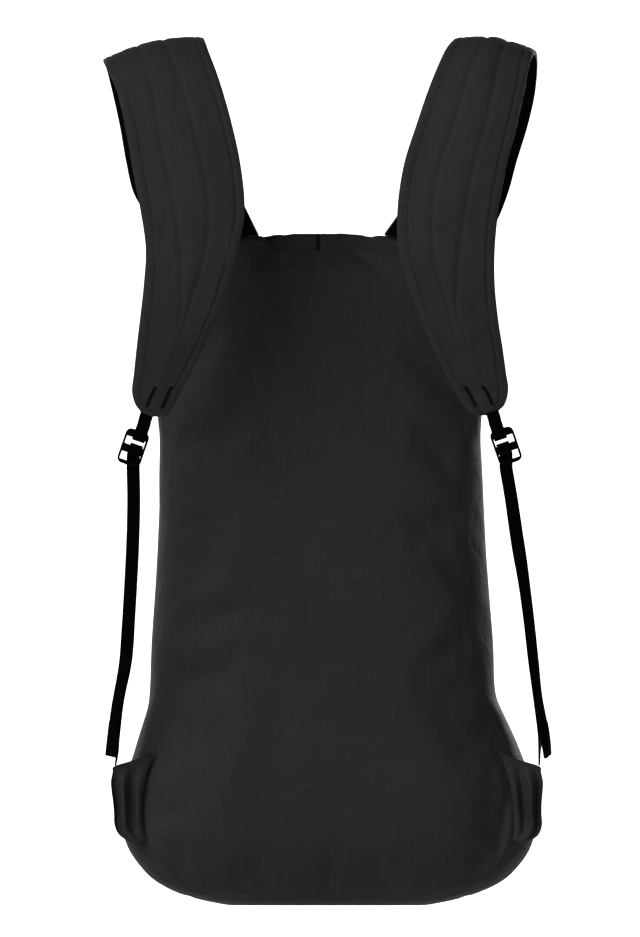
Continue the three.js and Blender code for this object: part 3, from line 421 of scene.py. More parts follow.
def webbing_material(name, colour, rough):
    """Woven band: ribs across it and cords along it."""
    material, tree = new_material(name, rough, 0.02)
    m = tree.math
    u, v, _ = tree.cloth_place()
    across = m("SINE", m("MULTIPLY", u, 2 * math.pi * 100 / RIB_PITCH))
    along = m("SINE", m("MULTIPLY", v, 2 * math.pi * 100 / CORD_PITCH))
    weave = m("MULTIPLY", across, along)
    tree.surface(colour, m("ADD", m("MULTIPLY", weave, 0.25), 0.85), weave, 0.6, 0.0003)
    return material


def plain_material(name, colour, rough, specular, grain):
    """Moulded plastic or thread with a fine grain."""
    material, tree = new_material(name, rough, specular)
    speckle = tree.noise(tree.add("ShaderNodeTexCoord", {})["Object"], grain, 3.0)
    spread = {"Value": speckle, "To Min": 0.8, "To Max": 1.2}
    tone = tree.add("ShaderNodeMapRange", spread)[0]
    tree.surface(colour, tone, speckle, 0.25, 0.0002)
    return material


CLOTH = cloth_material("bag_cloth", (0.0165, 0.0165, 0.0170), 0.70, 0.10, streak=0.6)
STRAP = cloth_material("strap_cloth", (0.0180, 0.0180, 0.0185), 0.76, 0.10,
                       grid=4.0, streak=0.45, crumple=0.9)
TAPE = cloth_material("zipper_tape_cloth", (0.0165, 0.0165, 0.0170), 0.70, 0.10,
                      grid=1.6, streak=0.2, crumple=0.2)
WEB = webbing_material("webbing_weave", (0.0005, 0.0005, 0.0006), 0.8)
THREAD = plain_material("thread", (0.0135, 0.0135, 0.0140), 0.75, 0.05, 900)
# Thread of the bar tacks, darker than the rest: painted shade of the creases that the tacks pull into
# the padding.
TACK_THREAD_PAINTED_SHADE = plain_material("tack_thread_painted_shade", (0.0035, 0.0035, 0.0037), 0.8, 0.03, 900)
# The straps' back faces are made near black: a dark lining, and painted shade where the front legs
# shade the inner faces of the rear ones.
LINING_PAINTED_SHADE = cloth_material("lining_mesh_painted_shade", (0.0016, 0.0016, 0.0017), 0.9, 0.02,
                        grid=1.4, streak=0.1, crumple=0.5)
PLASTIC = plain_material("moulded_plastic", (0.0006, 0.0006, 0.0007), 0.42, 0.03, 500)
COIL = webbing_material("zipper_coil", (0.0065, 0.0065, 0.0068), 0.6)

# The bag's lattice

ACROSS = 22
DEPTH = 18
HEIGHT = 74
zip_half = ZIPPER_WIDTH / 2
edge_share = 0.20
across_lines = [(-1 + (1 - edge_share) * n / ACROSS, None) for n in range(ACROSS + 1)][:-1]
across_lines += [(None, -zip_half), (None, -zip_half * 0.55), (None, -0.9), (None, 0.9),
                 (None, zip_half * 0.55), (None, zip_half)]
across_lines += [(-s[0], None) for s in reversed(across_lines[:ACROSS])]
depth_lines = [-1 + 2 * n / DEPTH for n in range(DEPTH + 1)]
base_seam = BASE_SEAM / BAG_HEIGHT
zipper_end = 1 - ZIPPER_LENGTH / BAG_HEIGHT
low = [0.0, base_seam * 0.2, base_seam * 0.55, base_seam]
low += [0.018, 0.025, 0.033, 0.042, 0.052, 0.063, 0.075]
count = HEIGHT - len(low)
mid = [0.075 + (0.925 - 0.075) * (n + 1) / (count - 9) for n in range(count - 9)]
mid[min(range(len(mid)), key=lambda n: abs(mid[n] - zipper_end))] = zipper_end
top = [0.937, 0.948, 0.958, 0.967, 0.975, 0.982, 0.989, 0.995, 1.0]
height_lines = low + mid + top
SEAM_ROW = height_lines.index(base_seam)
ZIP_ROW = height_lines.index(zipper_end)
ZIP_FIRST, ZIP_LAST = ACROSS, ACROSS + 4
W, D, H = len(across_lines) - 1, len(depth_lines) - 1, len(height_lines) - 1

lattice, order, cells = {}, [], []


def corner(i, j, k):
    key = (i, j, k)
    if key not in lattice:
        lattice[key] = len(order)
        order.append(bag_point(across_lines[i], depth_lines[j], height_lines[k]))
    return lattice[key]


def add_cell(face, i, j, k, keys):
    cells.append((face, i, j, k, [corner(*q) for q in keys], keys))


for k in range(H):
    for i in range(W):
        add_cell("back", i, 0, k, [(i, 0, k), (i + 1, 0, k), (i + 1, 0, k + 1), (i, 0, k + 1)])
        add_cell("front", i, D, k, [(i + 1, D, k), (i, D, k), (i, D, k + 1), (i + 1, D, k + 1)])
    for j in range(D):
        add_cell("left", 0, j, k, [(0, j + 1, k), (0, j, k), (0, j, k + 1), (0, j + 1, k + 1)])
        add_cell("right", W, j, k, [(W, j, k), (W, j + 1, k), (W, j + 1, k + 1), (W, j, k + 1)])
for i in range(W):
    for j in range(D):
        add_cell("base", i, j, 0, [(i, j + 1, 0), (i + 1, j + 1, 0), (i + 1, j, 0), (i, j, 0)])
        add_cell("top", i, j, H, [(i, j, H), (i + 1, j, H), (i + 1, j + 1, H), (i, j + 1, H)])

BASE, BACK, ZIPPER, COIL_GAP, FRONT, SIDE_LEFT, SIDE_RIGHT = range(7)


def panel_of(cell):
    face, i, j, k = cell[:4]
    if face == "base" or (face != "top" and k < SEAM_ROW):
        return BASE
    if ZIP_FIRST <= i <= ZIP_LAST and (face == "top" or (face == "front" and k >= ZIP_ROW)):
        return COIL_GAP if i == ZIP_FIRST + 2 else ZIPPER
    return {"back": BACK, "left": SIDE_LEFT, "right": SIDE_RIGHT}.get(face, FRONT)


panels = [panel_of(c) for c in cells]


# How the cloth settles: frames, pressure, growth as a share, and the furthest a point may move.
SETTLE_FRAMES = 16
SETTLE_PRESSURE = 1.2
SETTLE_SLACK = 0.035
SETTLE_REACH = 5.0


def simulate(obj, hold):
    """Lets the cloth settle under a little pressure with its seams held, and returns its points."""
    group = obj.vertex_groups.new(name="hold")
    group.add(hold, 1.0, "REPLACE")
    mod = obj.modifiers.new("Cloth", "CLOTH")
    settings = {
        "quality": 6, "mass": 0.12, "tension_stiffness": 14, "compression_stiffness": 14,
        "shear_stiffness": 5, "bending_stiffness": 0.35, "vertex_group_mass": "hold",
        "use_pressure": True, "uniform_pressure_force": SETTLE_PRESSURE,
        "shrink_min": -SETTLE_SLACK, "shrink_max": -SETTLE_SLACK,
    }
    for key, value in settings.items():
        setattr(mod.settings, key, value)
    mod.settings.effector_weights.gravity = 0
    mod.collision_settings.use_collision = False
    mod.collision_settings.use_self_collision = False
    mod.point_cache.frame_start = 1
    mod.point_cache.frame_end = SETTLE_FRAMES
    for f in range(1, SETTLE_FRAMES + 1):
        scene.frame_set(f)
    seen = obj.evaluated_get(bpy.context.evaluated_depsgraph_get())
    points = [v.co.copy() for v in seen.data.vertices]
    obj.modifiers.clear()
    scene.frame_set(1)
    return points


# The shallow valleys between the back panel and the sides, from the bottom up:
# side, height of the middle as a share of the bag's, half of its length as a share of the height,
# distance of the lower and of the upper end from the middle as shares of half the width,
# half of its breadth as a share of the width, depth as a share of the bag's depth.
SIDE_VALLEYS = [
    (1, 0.690, 0.40, 1.02, 0.84, 0.025, 0.048),
    (-1, 0.640, 0.36, 1.02, 0.90, 0.019, 0.036),
    (1, 0.215, 0.12, 1.03, 1.06, 0.036, 0.020),
    (-1, 0.190, 0.10, 1.04, 1.06, 0.036, 0.018),
]


def valley_depth(x, y, z):
    """How deep the cloth of the back and its corners lies in at this place."""
    up, push = z / BAG_HEIGHT, 0.0
    half_width, centre_x, centre_y, half_depth = section_at(min(max(up, 0), 1))
    facing = smooth(0.15, -0.55, (y - centre_y) / half_depth)
    for side, middle, long, low_end, top_end, broad, deep in SIDE_VALLEYS:
        along = (up - middle) / long
        place = (low_end + top_end) / 2 + (top_end - low_end) / 2 * max(-1, min(1, along))
        across = (x * side - place * BAG_WIDTH / 2 * 0.8) / (broad * BAG_WIDTH)
        push += deep * BAG_DEPTH * math.exp(-across ** 2) * math.exp(-(along * 0.95) ** 4)
    return push * facing


def settle_bag():
    """The whole bag as one cloth, held along its seams; each point may move only a little."""
    body = mesh_object("bag_cloth_work", order, [c[4] for c in cells])
    owners = {}
    for c, kind in zip(cells, panels):
        for n in c[4]:
            owners.setdefault(n, set()).add(kind)
    hold = [n for n, kinds in owners.items() if len(kinds) > 1 or kinds & {BASE, ZIPPER, COIL_GAP}]
    moved = simulate(body, hold)
    bpy.data.objects.remove(body)
    result = []
    for p, q in zip(order, moved):
        step = q * 1000 - ORIGIN - p
        if step.length > SETTLE_REACH:
            step *= SETTLE_REACH / step.length
        half_width, centre_x = section_at(min(max(p.z / BAG_HEIGHT, 0), 1))[:2]
        step.x *= 1 - 0.9 * smooth(0.7, 0.95, abs(p.x - centre_x) / half_width)
        step.y *= 1 - 0.5 * smooth(0.85, 1.0, abs(p.x - centre_x) / half_width)
        step.z *= smooth(0, 0.06, p.z / BAG_HEIGHT)
        result.append(p + step)
    return result


spots = settle_bag()
spots = [p + Vector((0, valley_depth(*p), 0)) for p in spots]

# Distance along the cloth from the middle of the front, for the weave.
ring = {}
for k in range(H + 1):
    for side, column in ((-1, 0), (1, W)):
        keys = [(i, D, k) for i in range(W // 2, column + side, side)]
        keys += [(column, j, k) for j in range(D - 1, -1, -1)]
        total = 0.0
        for key, before in zip(keys, keys[:1] + keys):
            total += (spots[lattice[key]] - spots[lattice[before]]).length
            ring[key] = side * total


def cloth_uv(cell, key):
    p = spots[lattice[key]]
    if cell[0] in ("base", "top"):
        return (p.x / 100, p.y / 100)
    if cell[0] == "back":
        return (p.x / 100, p.z / 100)
    return (ring[key] / 100, key[2] and height_lines[key[2]] * BAG_HEIGHT / 100)


def seam_depth(kinds):
    """How far a seam between two panels is drawn in."""
    if BASE in kinds:
        return 0.5
    return 0.2 if COIL_GAP in kinds else 0.0


def bag_skin():
    """The bag's outer skin as one closed and subdivided mesh that knows each face's panel."""
    work = mesh_object("bag_skin_work", spots, [c[4] for c in cells],
                       [[cloth_uv(c, key) for key in c[5]] for c in cells])
    marks = work.data.attributes.new("panel", "INT", "FACE")
    marks.data.foreach_set("value", panels)
    finish_mesh(work, levels=1)
    mesh = work.data
    kinds = [0] * len(mesh.polygons)
    mesh.attributes["panel"].data.foreach_get("value", kinds)
    owners = [set() for _ in mesh.vertices]
    for p, kind in zip(mesh.polygons, kinds):
        for n in p.vertices:
            owners[n].add(kind)
    normals = [Vector(n.vector) for n in mesh.vertex_normals]
    for v, owned, normal in zip(mesh.vertices, owners, normals):
        if len(owned) > 1:
            v.co -= normal * seam_depth(owned) * 0.001
    mesh.update()
    uv = [tuple(d.uv) for d in mesh.uv_layers[0].data]
    skin = {
        "points": [v.co.copy() for v in mesh.vertices],
        "normals": [Vector(n.vector) for n in mesh.vertex_normals],
        "faces": [(tuple(p.vertices), [uv[n] for n in p.loop_indices]) for p in mesh.polygons],
        "kinds": kinds,
    }
    bpy.data.objects.remove(work)
    return skin


skin = bag_skin()


def panel(name, kind, wall=CLOTH_WALL):
    """One panel of the skin as a closed wall of cloth, shaded as a part of the whole skin."""
    members = [f for f, k in zip(skin["faces"], skin["kinds"]) if k == kind]
    ids = {}
    for face, _ in members:
        for n in face:
            ids.setdefault(n, len(ids))
    total = len(ids)
    points = [skin["points"][n] for n in ids]
    outward = [skin["normals"][n] for n in ids]
    inner = [p - n * wall * 0.001 for p, n in zip(points, outward)]
    edges = {}
    faces, uvs, shades = [], [], []
    for face, uv in members:
        f = [ids[n] for n in face]
        faces.append(f)
        uvs.append(uv)
        shades += [outward[n] for n in f]
        faces.append([total + n for n in reversed(f)])
        uvs.append(uv[::-1])
        shades += [-outward[n] for n in reversed(f)]
        for n in range(len(f)):
            a, b = f[n], f[(n + 1) % len(f)]
            if (b, a) in edges:
                del edges[(b, a)]
            else:
                edges[(a, b)] = (uv[n], uv[(n + 1) % len(f)])
    for (a, b), (ua, ub) in edges.items():
        rim = [b, a, total + a, total + b]
        faces.append(rim)
        uvs.append([ub, ua, ua, ub])
        side = (points[a] - points[b]).cross(inner[a] - points[a]).normalized()
        shades += [side] * 4
    obj = mesh_object(name, points + inner, faces, uvs, metres=True)
    for p in obj.data.polygons:
        p.use_smooth = True
    obj.data.normals_split_custom_set([tuple(n) for n in shades])
    return obj


for name, kind in (("back_panel", BACK), ("front_panel", FRONT), ("side_panel_left", SIDE_LEFT),
                   ("side_panel_right", SIDE_RIGHT), ("base_panel", BASE)):
    place(panel(f"{name}_cloth", kind), "bag_cloth", CLOTH, [name])
place(panel("zipper_tape_cloth", ZIPPER), "zipper_tape", TAPE, ["zipper"])
place(panel("zipper_coil_row", COIL_GAP), "zipper_tape", COIL)

# Straps

def sheet_object(name, side, front, back, uv_at, rows, columns):
    """A closed mesh from both faces of a sheet, which are grids of points row after row."""
    total, wide = len(front), columns + 1
    end = rows * wide
    faces = []
    for i in range(rows):
        for a in range(i * wide, i * wide + columns):
            b, c, d = a + 1, a + wide + 1, a + wide
            faces += [(a, b, c, d), (total + a, total + d, total + c, total + b)]
    rim = [(a, a + 1) for a in range(columns)]
    rim += [(a, a + wide) for a in range(columns, end, wide)]
    rim += [(a, a - 1) for a in range(end + columns, end, -1)]
    rim += [(a, a - wide) for a in range(end, 0, -wide)]
    faces += [(b, a, total + a, total + b) for a, b in rim]
    if side < 0:
        faces = [(f[0], *f[:0:-1]) for f in faces]
    uvs = [[uv_at[n % total] for n in f] for f in faces]
    return mesh_object(name, front + back, faces, uvs)


def catmull(points, t):
    """A centripetal curve through points, at a share t of its rows."""
    spot = t * (len(points) - 1)
    i = min(int(spot), len(points) - 2)
    w = spot - i
    p1, p2 = points[i], points[i + 1]
    p0 = points[i - 1] if i else p1 * 2 - p2
    p3 = points[i + 2] if i + 2 < len(points) else p2 * 2 - p1
    d0, d1, d2 = (max((a - b).length ** 0.5, 1e-4) for a, b in ((p0, p1), (p1, p2), (p2, p3)))
    t1 = ((p1 - p0) / d0 - (p2 - p0) / (d0 + d1) + (p2 - p1) / d1) * d1
    t2 = ((p2 - p1) / d1 - (p3 - p1) / (d1 + d2) + (p3 - p2) / d2) * d1
    return hermite(p1, p2, t1, t2, w)


def strap_curves(side, lines):
    """Curves along a strap at even shares of its width, from its outer edge to its inner one."""
    top_corner = bag_point((side, None), -1, 1)

    def root(share):
        side_run, top_run = ROOT_DROP, abs(top_corner.x) - ROOT_INNER
        turn = side_run / (side_run + top_run)
        foot = 1 - ROOT_DROP / BAG_HEIGHT
        if share < turn:
            point, outward = seam_place(side, foot + (1 - foot) * share / turn)
            return point + outward * (STRAP_EDGE / 2 + FIT_GAP)
        t = (share - turn) / (1 - turn)
        x = top_corner.x + (side * ROOT_INNER - top_corner.x) * t
        point = bag_point((None, x - section_at(1)[1]), -1, 1)
        outward = seam_place(side, 1)[1].lerp(Vector((0, -0.5, 0.86)), t).normalized()
        return point + outward * (STRAP_EDGE / 2 + FIT_GAP)

    curves = []
    for n in range(lines):
        share = n / (lines - 1)
        stations = [root(share)]
        for up, drop, outer, inner, fore in STRAP_ROWS[side]:
            crown = STRAP_CROWN * smooth(0.93, 0.98, up) * (1 + math.sin(math.pi * share)) / 2
            a = Vector((side * outer * STRAP_SPAN, -fore * ARCH_DEPTH, (up - drop / 2) * ARCH_HEIGHT))
            b = Vector((side * inner * STRAP_SPAN, -fore * ARCH_DEPTH, (up + drop / 2) * ARCH_HEIGHT))
            stations.append(a.lerp(b, share) + Vector((0, 0, crown)))
        curves.append(stations)
    return curves


# Bar tacks at a strap's tip: share across at their upper and at their lower end.
TIP_BARS = ((0.45, 0.29), (0.76, 0.70))
BAR_TOP = 24.0
BAR_FOOT = 9.0
TACK_SPREAD = 0.018
# Where the quilting starts along a strap, and how far it runs, as shares of it.
QUILT_START = 0.06
QUILT_RUN = 0.65


class Strap:
    LINES = 9

    def __init__(self, side):
        self.side = side
        self.curves = strap_curves(side, self.LINES)

    def middle(self, along, share):
        """A point of the strap's middle surface."""
        spot = share * (self.LINES - 1)
        n = min(int(spot), self.LINES - 2)
        a, b = catmull(self.curves[n], along), catmull(self.curves[n + 1], along)
        return a.lerp(b, spot - n)

    def normal(self, along, share):
        """Out of the strap's outer face, which looks at the viewer on the front leg."""
        e = 0.004
        run = self.middle(min(along + e, 1), share) - self.middle(max(along - e, 0), share)
        span = self.middle(along, min(share + 0.05, 1)) - self.middle(along, max(share - 0.05, 0))
        n = run.cross(span).normalized()
        return n * (1 if self.side < 0 else -1)

    def width(self, along):
        return (self.middle(along, 1) - self.middle(along, 0)).length

    def edge_share(self, along):
        return STITCH_INSET / max(self.width(along), 20)

    def half_thickness(self, along, share):
        full = read(PAD_PROFILE, 1, along) * PAD_THICKNESS
        from_edge = min(share, 1 - share)
        edge = self.edge_share(along)
        rim = min(STRAP_EDGE, full)
        if from_edge <= edge:
            swell = 0.34 * math.sin(math.pi / 2 * min(from_edge / edge * 1.3, 1)) * (
                1 - 0.35 * smooth(0.6, 1.0, from_edge / edge))
        else:
            swell = 0.40 + 0.60 * smooth(edge * 0.7, edge * 4.6, from_edge)
        deep = max(read(QUILT_LINES, 3, along), 0) * QUILT_DEPTH
        near = min(abs(share - read(QUILT_LINES, column, along)) for column in (1, 2))
        near *= self.width(along)
        groove = deep * (0.8 * math.exp(-(near / 1.5) ** 2) + 0.25 * math.exp(-(near / 7.0) ** 2))
        thick = rim + (full - rim) * swell - groove
        return max(thick, min(rim, full) * 0.8) / 2


def ripple(p, scale, depth):
    return noise.fractal(p * scale, 0.9, 2.0, 3) * depth


def strap_wave(p, share):
    """The unevenness of the padding, which dies out at both edges of a strap."""
    calm = smooth(0, 0.1, share) * smooth(0, 0.1, 1 - share)
    return ripple(p, 0.035, 0.7) * calm + ripple(p + Vector((90, 0, 0)), 0.11, 0.22) * calm


def strap_mesh(strap, name):
    rows, columns = 190, 46
    front, back, uvs_at = [], [], []
    length = [0.0]
    last = strap.middle(0, 0.5)
    for i in range(1, rows + 1):
        here = strap.middle(i / rows, 0.5)
        length.append(length[-1] + (here - last).length)
        last = here
    for i in range(rows + 1):
        along = i / rows
        width = strap.width(along)
        for j in range(columns + 1):
            share = j / columns
            share = share - 0.06 * math.sin(2 * math.pi * share) / 2
            p = strap.middle(along, share)
            n = strap.normal(along, share)
            half = strap.half_thickness(along, share)
            wave = strap_wave(p, share)
            front.append(p + n * (half + wave))
            back.append(p - n * (half - wave * 0.6))
            uvs_at.append(((share - 0.5) * width / 100, length[i] / 100))
    sheet = sheet_object(name, strap.side, front, back, uvs_at, rows, columns)
    return finish_mesh(sheet, angle=70)


# One stitch from end to end: share of its length, of its radius, and of its radius above the cloth.
STITCH_SHAPE = [
    (-0.5, 0.35, -0.55), (-0.3, 0.95, 0.15), (0.0, 1.0, 0.35), (0.3, 0.95, 0.15), (0.5, 0.35, -0.55),
]


def stitch_mesh(name, runs, pitch=3.2, length=2.3, radius=0.30):
    """Short thread stitches along runs of (point, normal), as one joined mesh."""
    points, faces = [], []
    sides, rings = 6, len(STITCH_SHAPE) - 1
    for run in runs:
        marks, travelled, target = [], 0.0, pitch / 2
        for (p, n), (q, m) in zip(run, run[1:]):
            gap = (q - p).length
            while gap > 0 and travelled + gap >= target:
                t = (target - travelled) / gap
                marks.append((p.lerp(q, t), n.lerp(m, t).normalized(), (q - p).normalized()))
                target += pitch
            travelled += gap
        for p, n, run_dir in marks:
            across = run_dir.cross(n).normalized()
            start = len(points)
            for s, r, h in STITCH_SHAPE:
                for a in range(sides):
                    angle = a * 2 * math.pi / sides
                    points.append(p + run_dir * s * length + across * math.cos(angle) * radius * r
                                  + n * (math.sin(angle) * radius * r + h * radius))
            for first in range(start, start + rings * sides, sides):
                for a in range(sides):
                    b = (a + 1) % sides
                    faces.append((first + a, first + b, first + sides + b, first + sides + a))
            faces.append(tuple(start + a for a in reversed(range(sides))))
            faces.append(tuple(start + rings * sides + a for a in range(sides)))
    return finish_mesh(mesh_object(name, points, faces))


def strap_run(strap, shares, face=1, steps=120, lift=0.05):
    """Points on a strap's face along (along, share) pairs."""
    run = []
    for n in range(steps + 1):
        spot = n / steps * (len(shares) - 1)
        i = min(int(spot), len(shares) - 2)
        w = spot - i
        along = shares[i][0] * (1 - w) + shares[i + 1][0] * w
        share = shares[i][1] * (1 - w) + shares[i + 1][1] * w
        p, normal = strap.middle(along, share), strap.normal(along, share)
        wave = strap_wave(p, share)
        half = strap.half_thickness(along, share)
        offset = half + wave + lift if face > 0 else -(half - wave * 0.6 + lift)
        run.append((p + normal * offset, normal * face))
    return run


def from_tip(strap, gap):
    """The share along a strap that lies this far from its tip."""
    along, run, last = 1.0, 0.0, strap.middle(1, 0.5)
    while run < gap:
        along -= 0.001
        here = strap.middle(along, 0.5)
        run += (here - last).length
        last = here
    return along


straps = {side: Strap(side) for side, _ in SIDES}
for side, word in SIDES:
    strap = straps[side]
    piece = place(strap_mesh(strap, f"strap_{word}_padded"), "strap_cloth", STRAP, [f"strap_{word}"])
    # The back faces take the near-black lining, which paints the shade on the straps' inner faces.
    piece.data.materials.append(LINING_PAINTED_SHADE)
    half_count = len(piece.data.vertices) // 2
    for p in piece.data.polygons:
        p.material_index = 1 if min(p.vertices) >= half_count else 0
    runs = []
    for face in (1, -1):
        edge = [(a / 60, strap.edge_share(a / 60)) for a in range(2, 58)]
        runs.append(strap_run(strap, edge, face, 260))
        runs.append(strap_run(strap, [(along, 1 - share) for along, share in edge], face, 260))
        for column in (1, 2):
            places = [QUILT_START + QUILT_RUN * a / 50 for a in range(51)]
            line = [(a, read(QUILT_LINES, column, a)) for a in places]
            runs.append(strap_run(strap, line, face, 220, lift=-0.05))
    place(stitch_mesh(f"strap_{word}_stitches", runs), "strap_cloth", THREAD)
    tacks = []
    for upper, lower in TIP_BARS:
        for shift in (-TACK_SPREAD, 0.0, TACK_SPREAD):
            bar = [(from_tip(strap, BAR_TOP), upper + shift),
                   (from_tip(strap, BAR_FOOT), lower + shift)]
            tacks.append(strap_run(strap, bar, 1, 20, lift=0.3))
    tack_mesh = stitch_mesh(f"strap_{word}_tacks", tacks, pitch=1.3, length=2.0, radius=0.5)
    # The tacks' dark thread is painted shade of their creases.
    place(tack_mesh, "strap_cloth", TACK_THREAD_PAINTED_SHADE)

# Corner wings

# The cloth's pleats stand deeper than the solid's.
PLEAT_REACH = 2.0


def wing_mesh(side, name):
    rows, columns = 44, 40
    front, back, uv_at = [], [], []
    for i in range(rows + 1):
        along = i / rows
        z = WING_TOP - WING_HEIGHT * (1 - along)
        reach = WING_REACH * max(read(WING_OUTLINE, 1, along), 0.08)
        point, outward = seam_place(side, z / BAG_HEIGHT)
        start = point + outward * (WING_THICKNESS * 0.35 + FIT_GAP)
        for j in range(columns + 1):
            share = j / columns
            wave = math.sin(share * PLEAT_COUNT * 2 * math.pi)
            swell = math.sin(math.pi * min(along * 1.15, 1))
            pleat = PLEAT_REACH * PLEAT_DEPTH * wave * swell * math.sqrt(share)
            p = Vector((start.x + side * reach * share, start.y - share * 3 - pleat,
                        z - (1 - along) * share * 4))
            p.y += ripple(p, 0.09, 0.8) * share
            thick = WING_THICKNESS / 2 * (0.75 + 0.25 * math.sin(math.pi * share))
            front.append(p + Vector((0, -thick, 0)))
            back.append(p + Vector((0, thick, 0)))
            uv_at.append((p.x / 100, p.z / 100))
    return finish_mesh(sheet_object(name, side, front, back, uv_at, rows, columns), levels=1)


for side, word in SIDES:
    place(wing_mesh(side, f"wing_{word}_cloth"), "bag_cloth", CLOTH, [f"corner_wing_{word}"])

# Webbing and buckles

SLOT_HEIGHT = (BUCKLE_HEIGHT - TOP_BAR - MIDDLE_BAR - BOTTOM_BAR) / 2
LOWER_SLOT = -BUCKLE_HEIGHT / 2 + BOTTOM_BAR
MIDDLE_FOOT = LOWER_SLOT + SLOT_HEIGHT
UPPER_SLOT = MIDDLE_FOOT + MIDDLE_BAR
TOP_FOOT = UPPER_SLOT + SLOT_HEIGHT
STAND = FIT_GAP + WEBBING_THICKNESS / 2
BAR_FACE = BUCKLE_THICKNESS / 2 + STAND
BEND = WEBBING_THICKNESS * 0.95
SLOT_PLAY = (SLOT_WIDTH - WEBBING_WIDTH) / 2 - FIT_GAP


def strap_tip(side):
    outer, inner = straps[side].middle(1, 0), straps[side].middle(1, 1)
    across = (inner - outer).normalized() * -side
    down = Vector((0, 1, 0)).cross(across)
    if down.z > 0:
        down.negate()
    return (outer + inner) / 2, across, down


OUT = Vector((0, -1, 0))


def buckle_frame(side):
    """The way across a buckle, and a function from its own x, y and z to a place."""
    middle = strap_tip(side)[0]
    angle = math.radians(TIP_TO_BUCKLE_ANGLE)
    centre = middle + Vector((side * math.sin(angle), 0, -math.cos(angle))) * TIP_TO_BUCKLE
    tilt = math.radians(BUCKLE_TILT) * side
    up = Vector((-math.sin(tilt), 0, math.cos(tilt)))
    across = up.cross(OUT)
    return across, lambda x, y, z: centre + across * x + up * y + OUT * z


def round_path(corners, radius, steps):
    points = [Vector(corners[0])]
    for before, here, after in zip(corners, corners[1:], corners[2:]):
        before, here, after = Vector(before), Vector(here), Vector(after)
        reach = min(radius, (here - before).length * 0.48, (here - after).length * 0.48)
        start = here + (before - here).normalized() * reach
        end = here + (after - here).normalized() * reach
        for s in range(steps + 1):
            t = s / steps
            points.append(start * (1 - t) ** 2 + here * 2 * t * (1 - t) + end * t * t)
    return points + [Vector(corners[-1])]


# Half the breadth of a band's round edge.
BAND_ROUND = 0.55


def ribbon(name, stations):
    """A woven band with round edges along (middle, across, thickness) stations."""
    flat = WEBBING_WIDTH / 2 - BAND_ROUND
    profile = []
    for turn, middle in ((-0.5, flat), (0.5, -flat)):
        for s in range(9):
            a = math.pi * (turn + s / 8)
            profile.append((middle + BAND_ROUND * math.cos(a), math.sin(a)))
    ring_size = len(profile)
    points, uv_rows, travelled = [], [], 0.0
    for n, (middle, across, thickness) in enumerate(stations):
        ahead = stations[min(n + 1, len(stations) - 1)][0]
        behind = stations[max(n - 1, 0)][0]
        run = (ahead - behind).normalized()
        across = (across - run * across.dot(run)).normalized()
        normal = run.cross(across)
        if n:
            travelled += (middle - stations[n - 1][0]).length
        for x, y in profile:
            points.append(middle + across * x + normal * y * thickness / 2)
        uv_rows.append(travelled)
    faces, uvs = [], []
    girth = [0.0]
    for a, b in zip(profile, profile[1:] + profile[:1]):
        girth.append(girth[-1] + math.hypot(a[0] - b[0], (a[1] - b[1]) * 0.65))
    for n in range(len(stations) - 1):
        for s in range(ring_size):
            t = (s + 1) % ring_size
            a, b = n * ring_size + s, n * ring_size + t
            faces.append((a, b, b + ring_size, a + ring_size))
            u0, u1 = girth[s] / 100, girth[s + 1] / 100
            v0, v1 = uv_rows[n] / 100, uv_rows[n + 1] / 100
            uvs.append([(u0, v0), (u1, v0), (u1, v1), (u0, v1)])
    last = (len(stations) - 1) * ring_size
    faces.append(tuple(reversed(range(ring_size))))
    uvs.append([(0, 0)] * ring_size)
    faces.append(tuple(last + s for s in range(ring_size)))
    uvs.append([(0, 0)] * ring_size)
    return finish_mesh(mesh_object(name, points, faces, uvs), angle=60)


# How far the tip webbing starts inside the strap.
TIP_OVERLAP = 0.8


def tip_stations(side):
    middle, tip_across, down = strap_tip(side)
    across, at = buckle_frame(side)
    pair = (WEBBING_THICKNESS + FIT_GAP) / 2
    start = middle - down * TIP_OVERLAP
    meet = BUCKLE_HEIGHT / 2 + BAR_FACE * 1.8
    part = BUCKLE_HEIGHT / 2 + WEBBING_THICKNESS
    path = round_path([
        (meet, pair), (part, BAR_FACE), (TOP_FOOT - STAND, BAR_FACE),
        (TOP_FOOT - STAND, -BAR_FACE), (part, -BAR_FACE), (meet, -pair)], BEND, 6)
    aside = -side * SLOT_PLAY
    joint = at(aside, meet, 0)
    half = start.lerp(joint, 0.5) + down * 1.5
    tilted = tip_across.lerp(across, 0.5).normalized()
    t = WEBBING_THICKNESS
    stations = [(start + OUT * pair, tip_across, t), (half + OUT * pair, tilted, t)]
    stations += [(at(aside, p[0], p[1]), across, t) for p in path]
    stations += [(half - OUT * pair, tilted, t), (start - OUT * pair, tip_across, t)]
    return stations


# Where the adjuster webbing is sewn to a wing, as a share of the wing's height, and where its
# tail ends, as a share of the way from the buckle to there.
ANCHOR_ALONG = 0.86
TAIL_LENGTH = 0.975


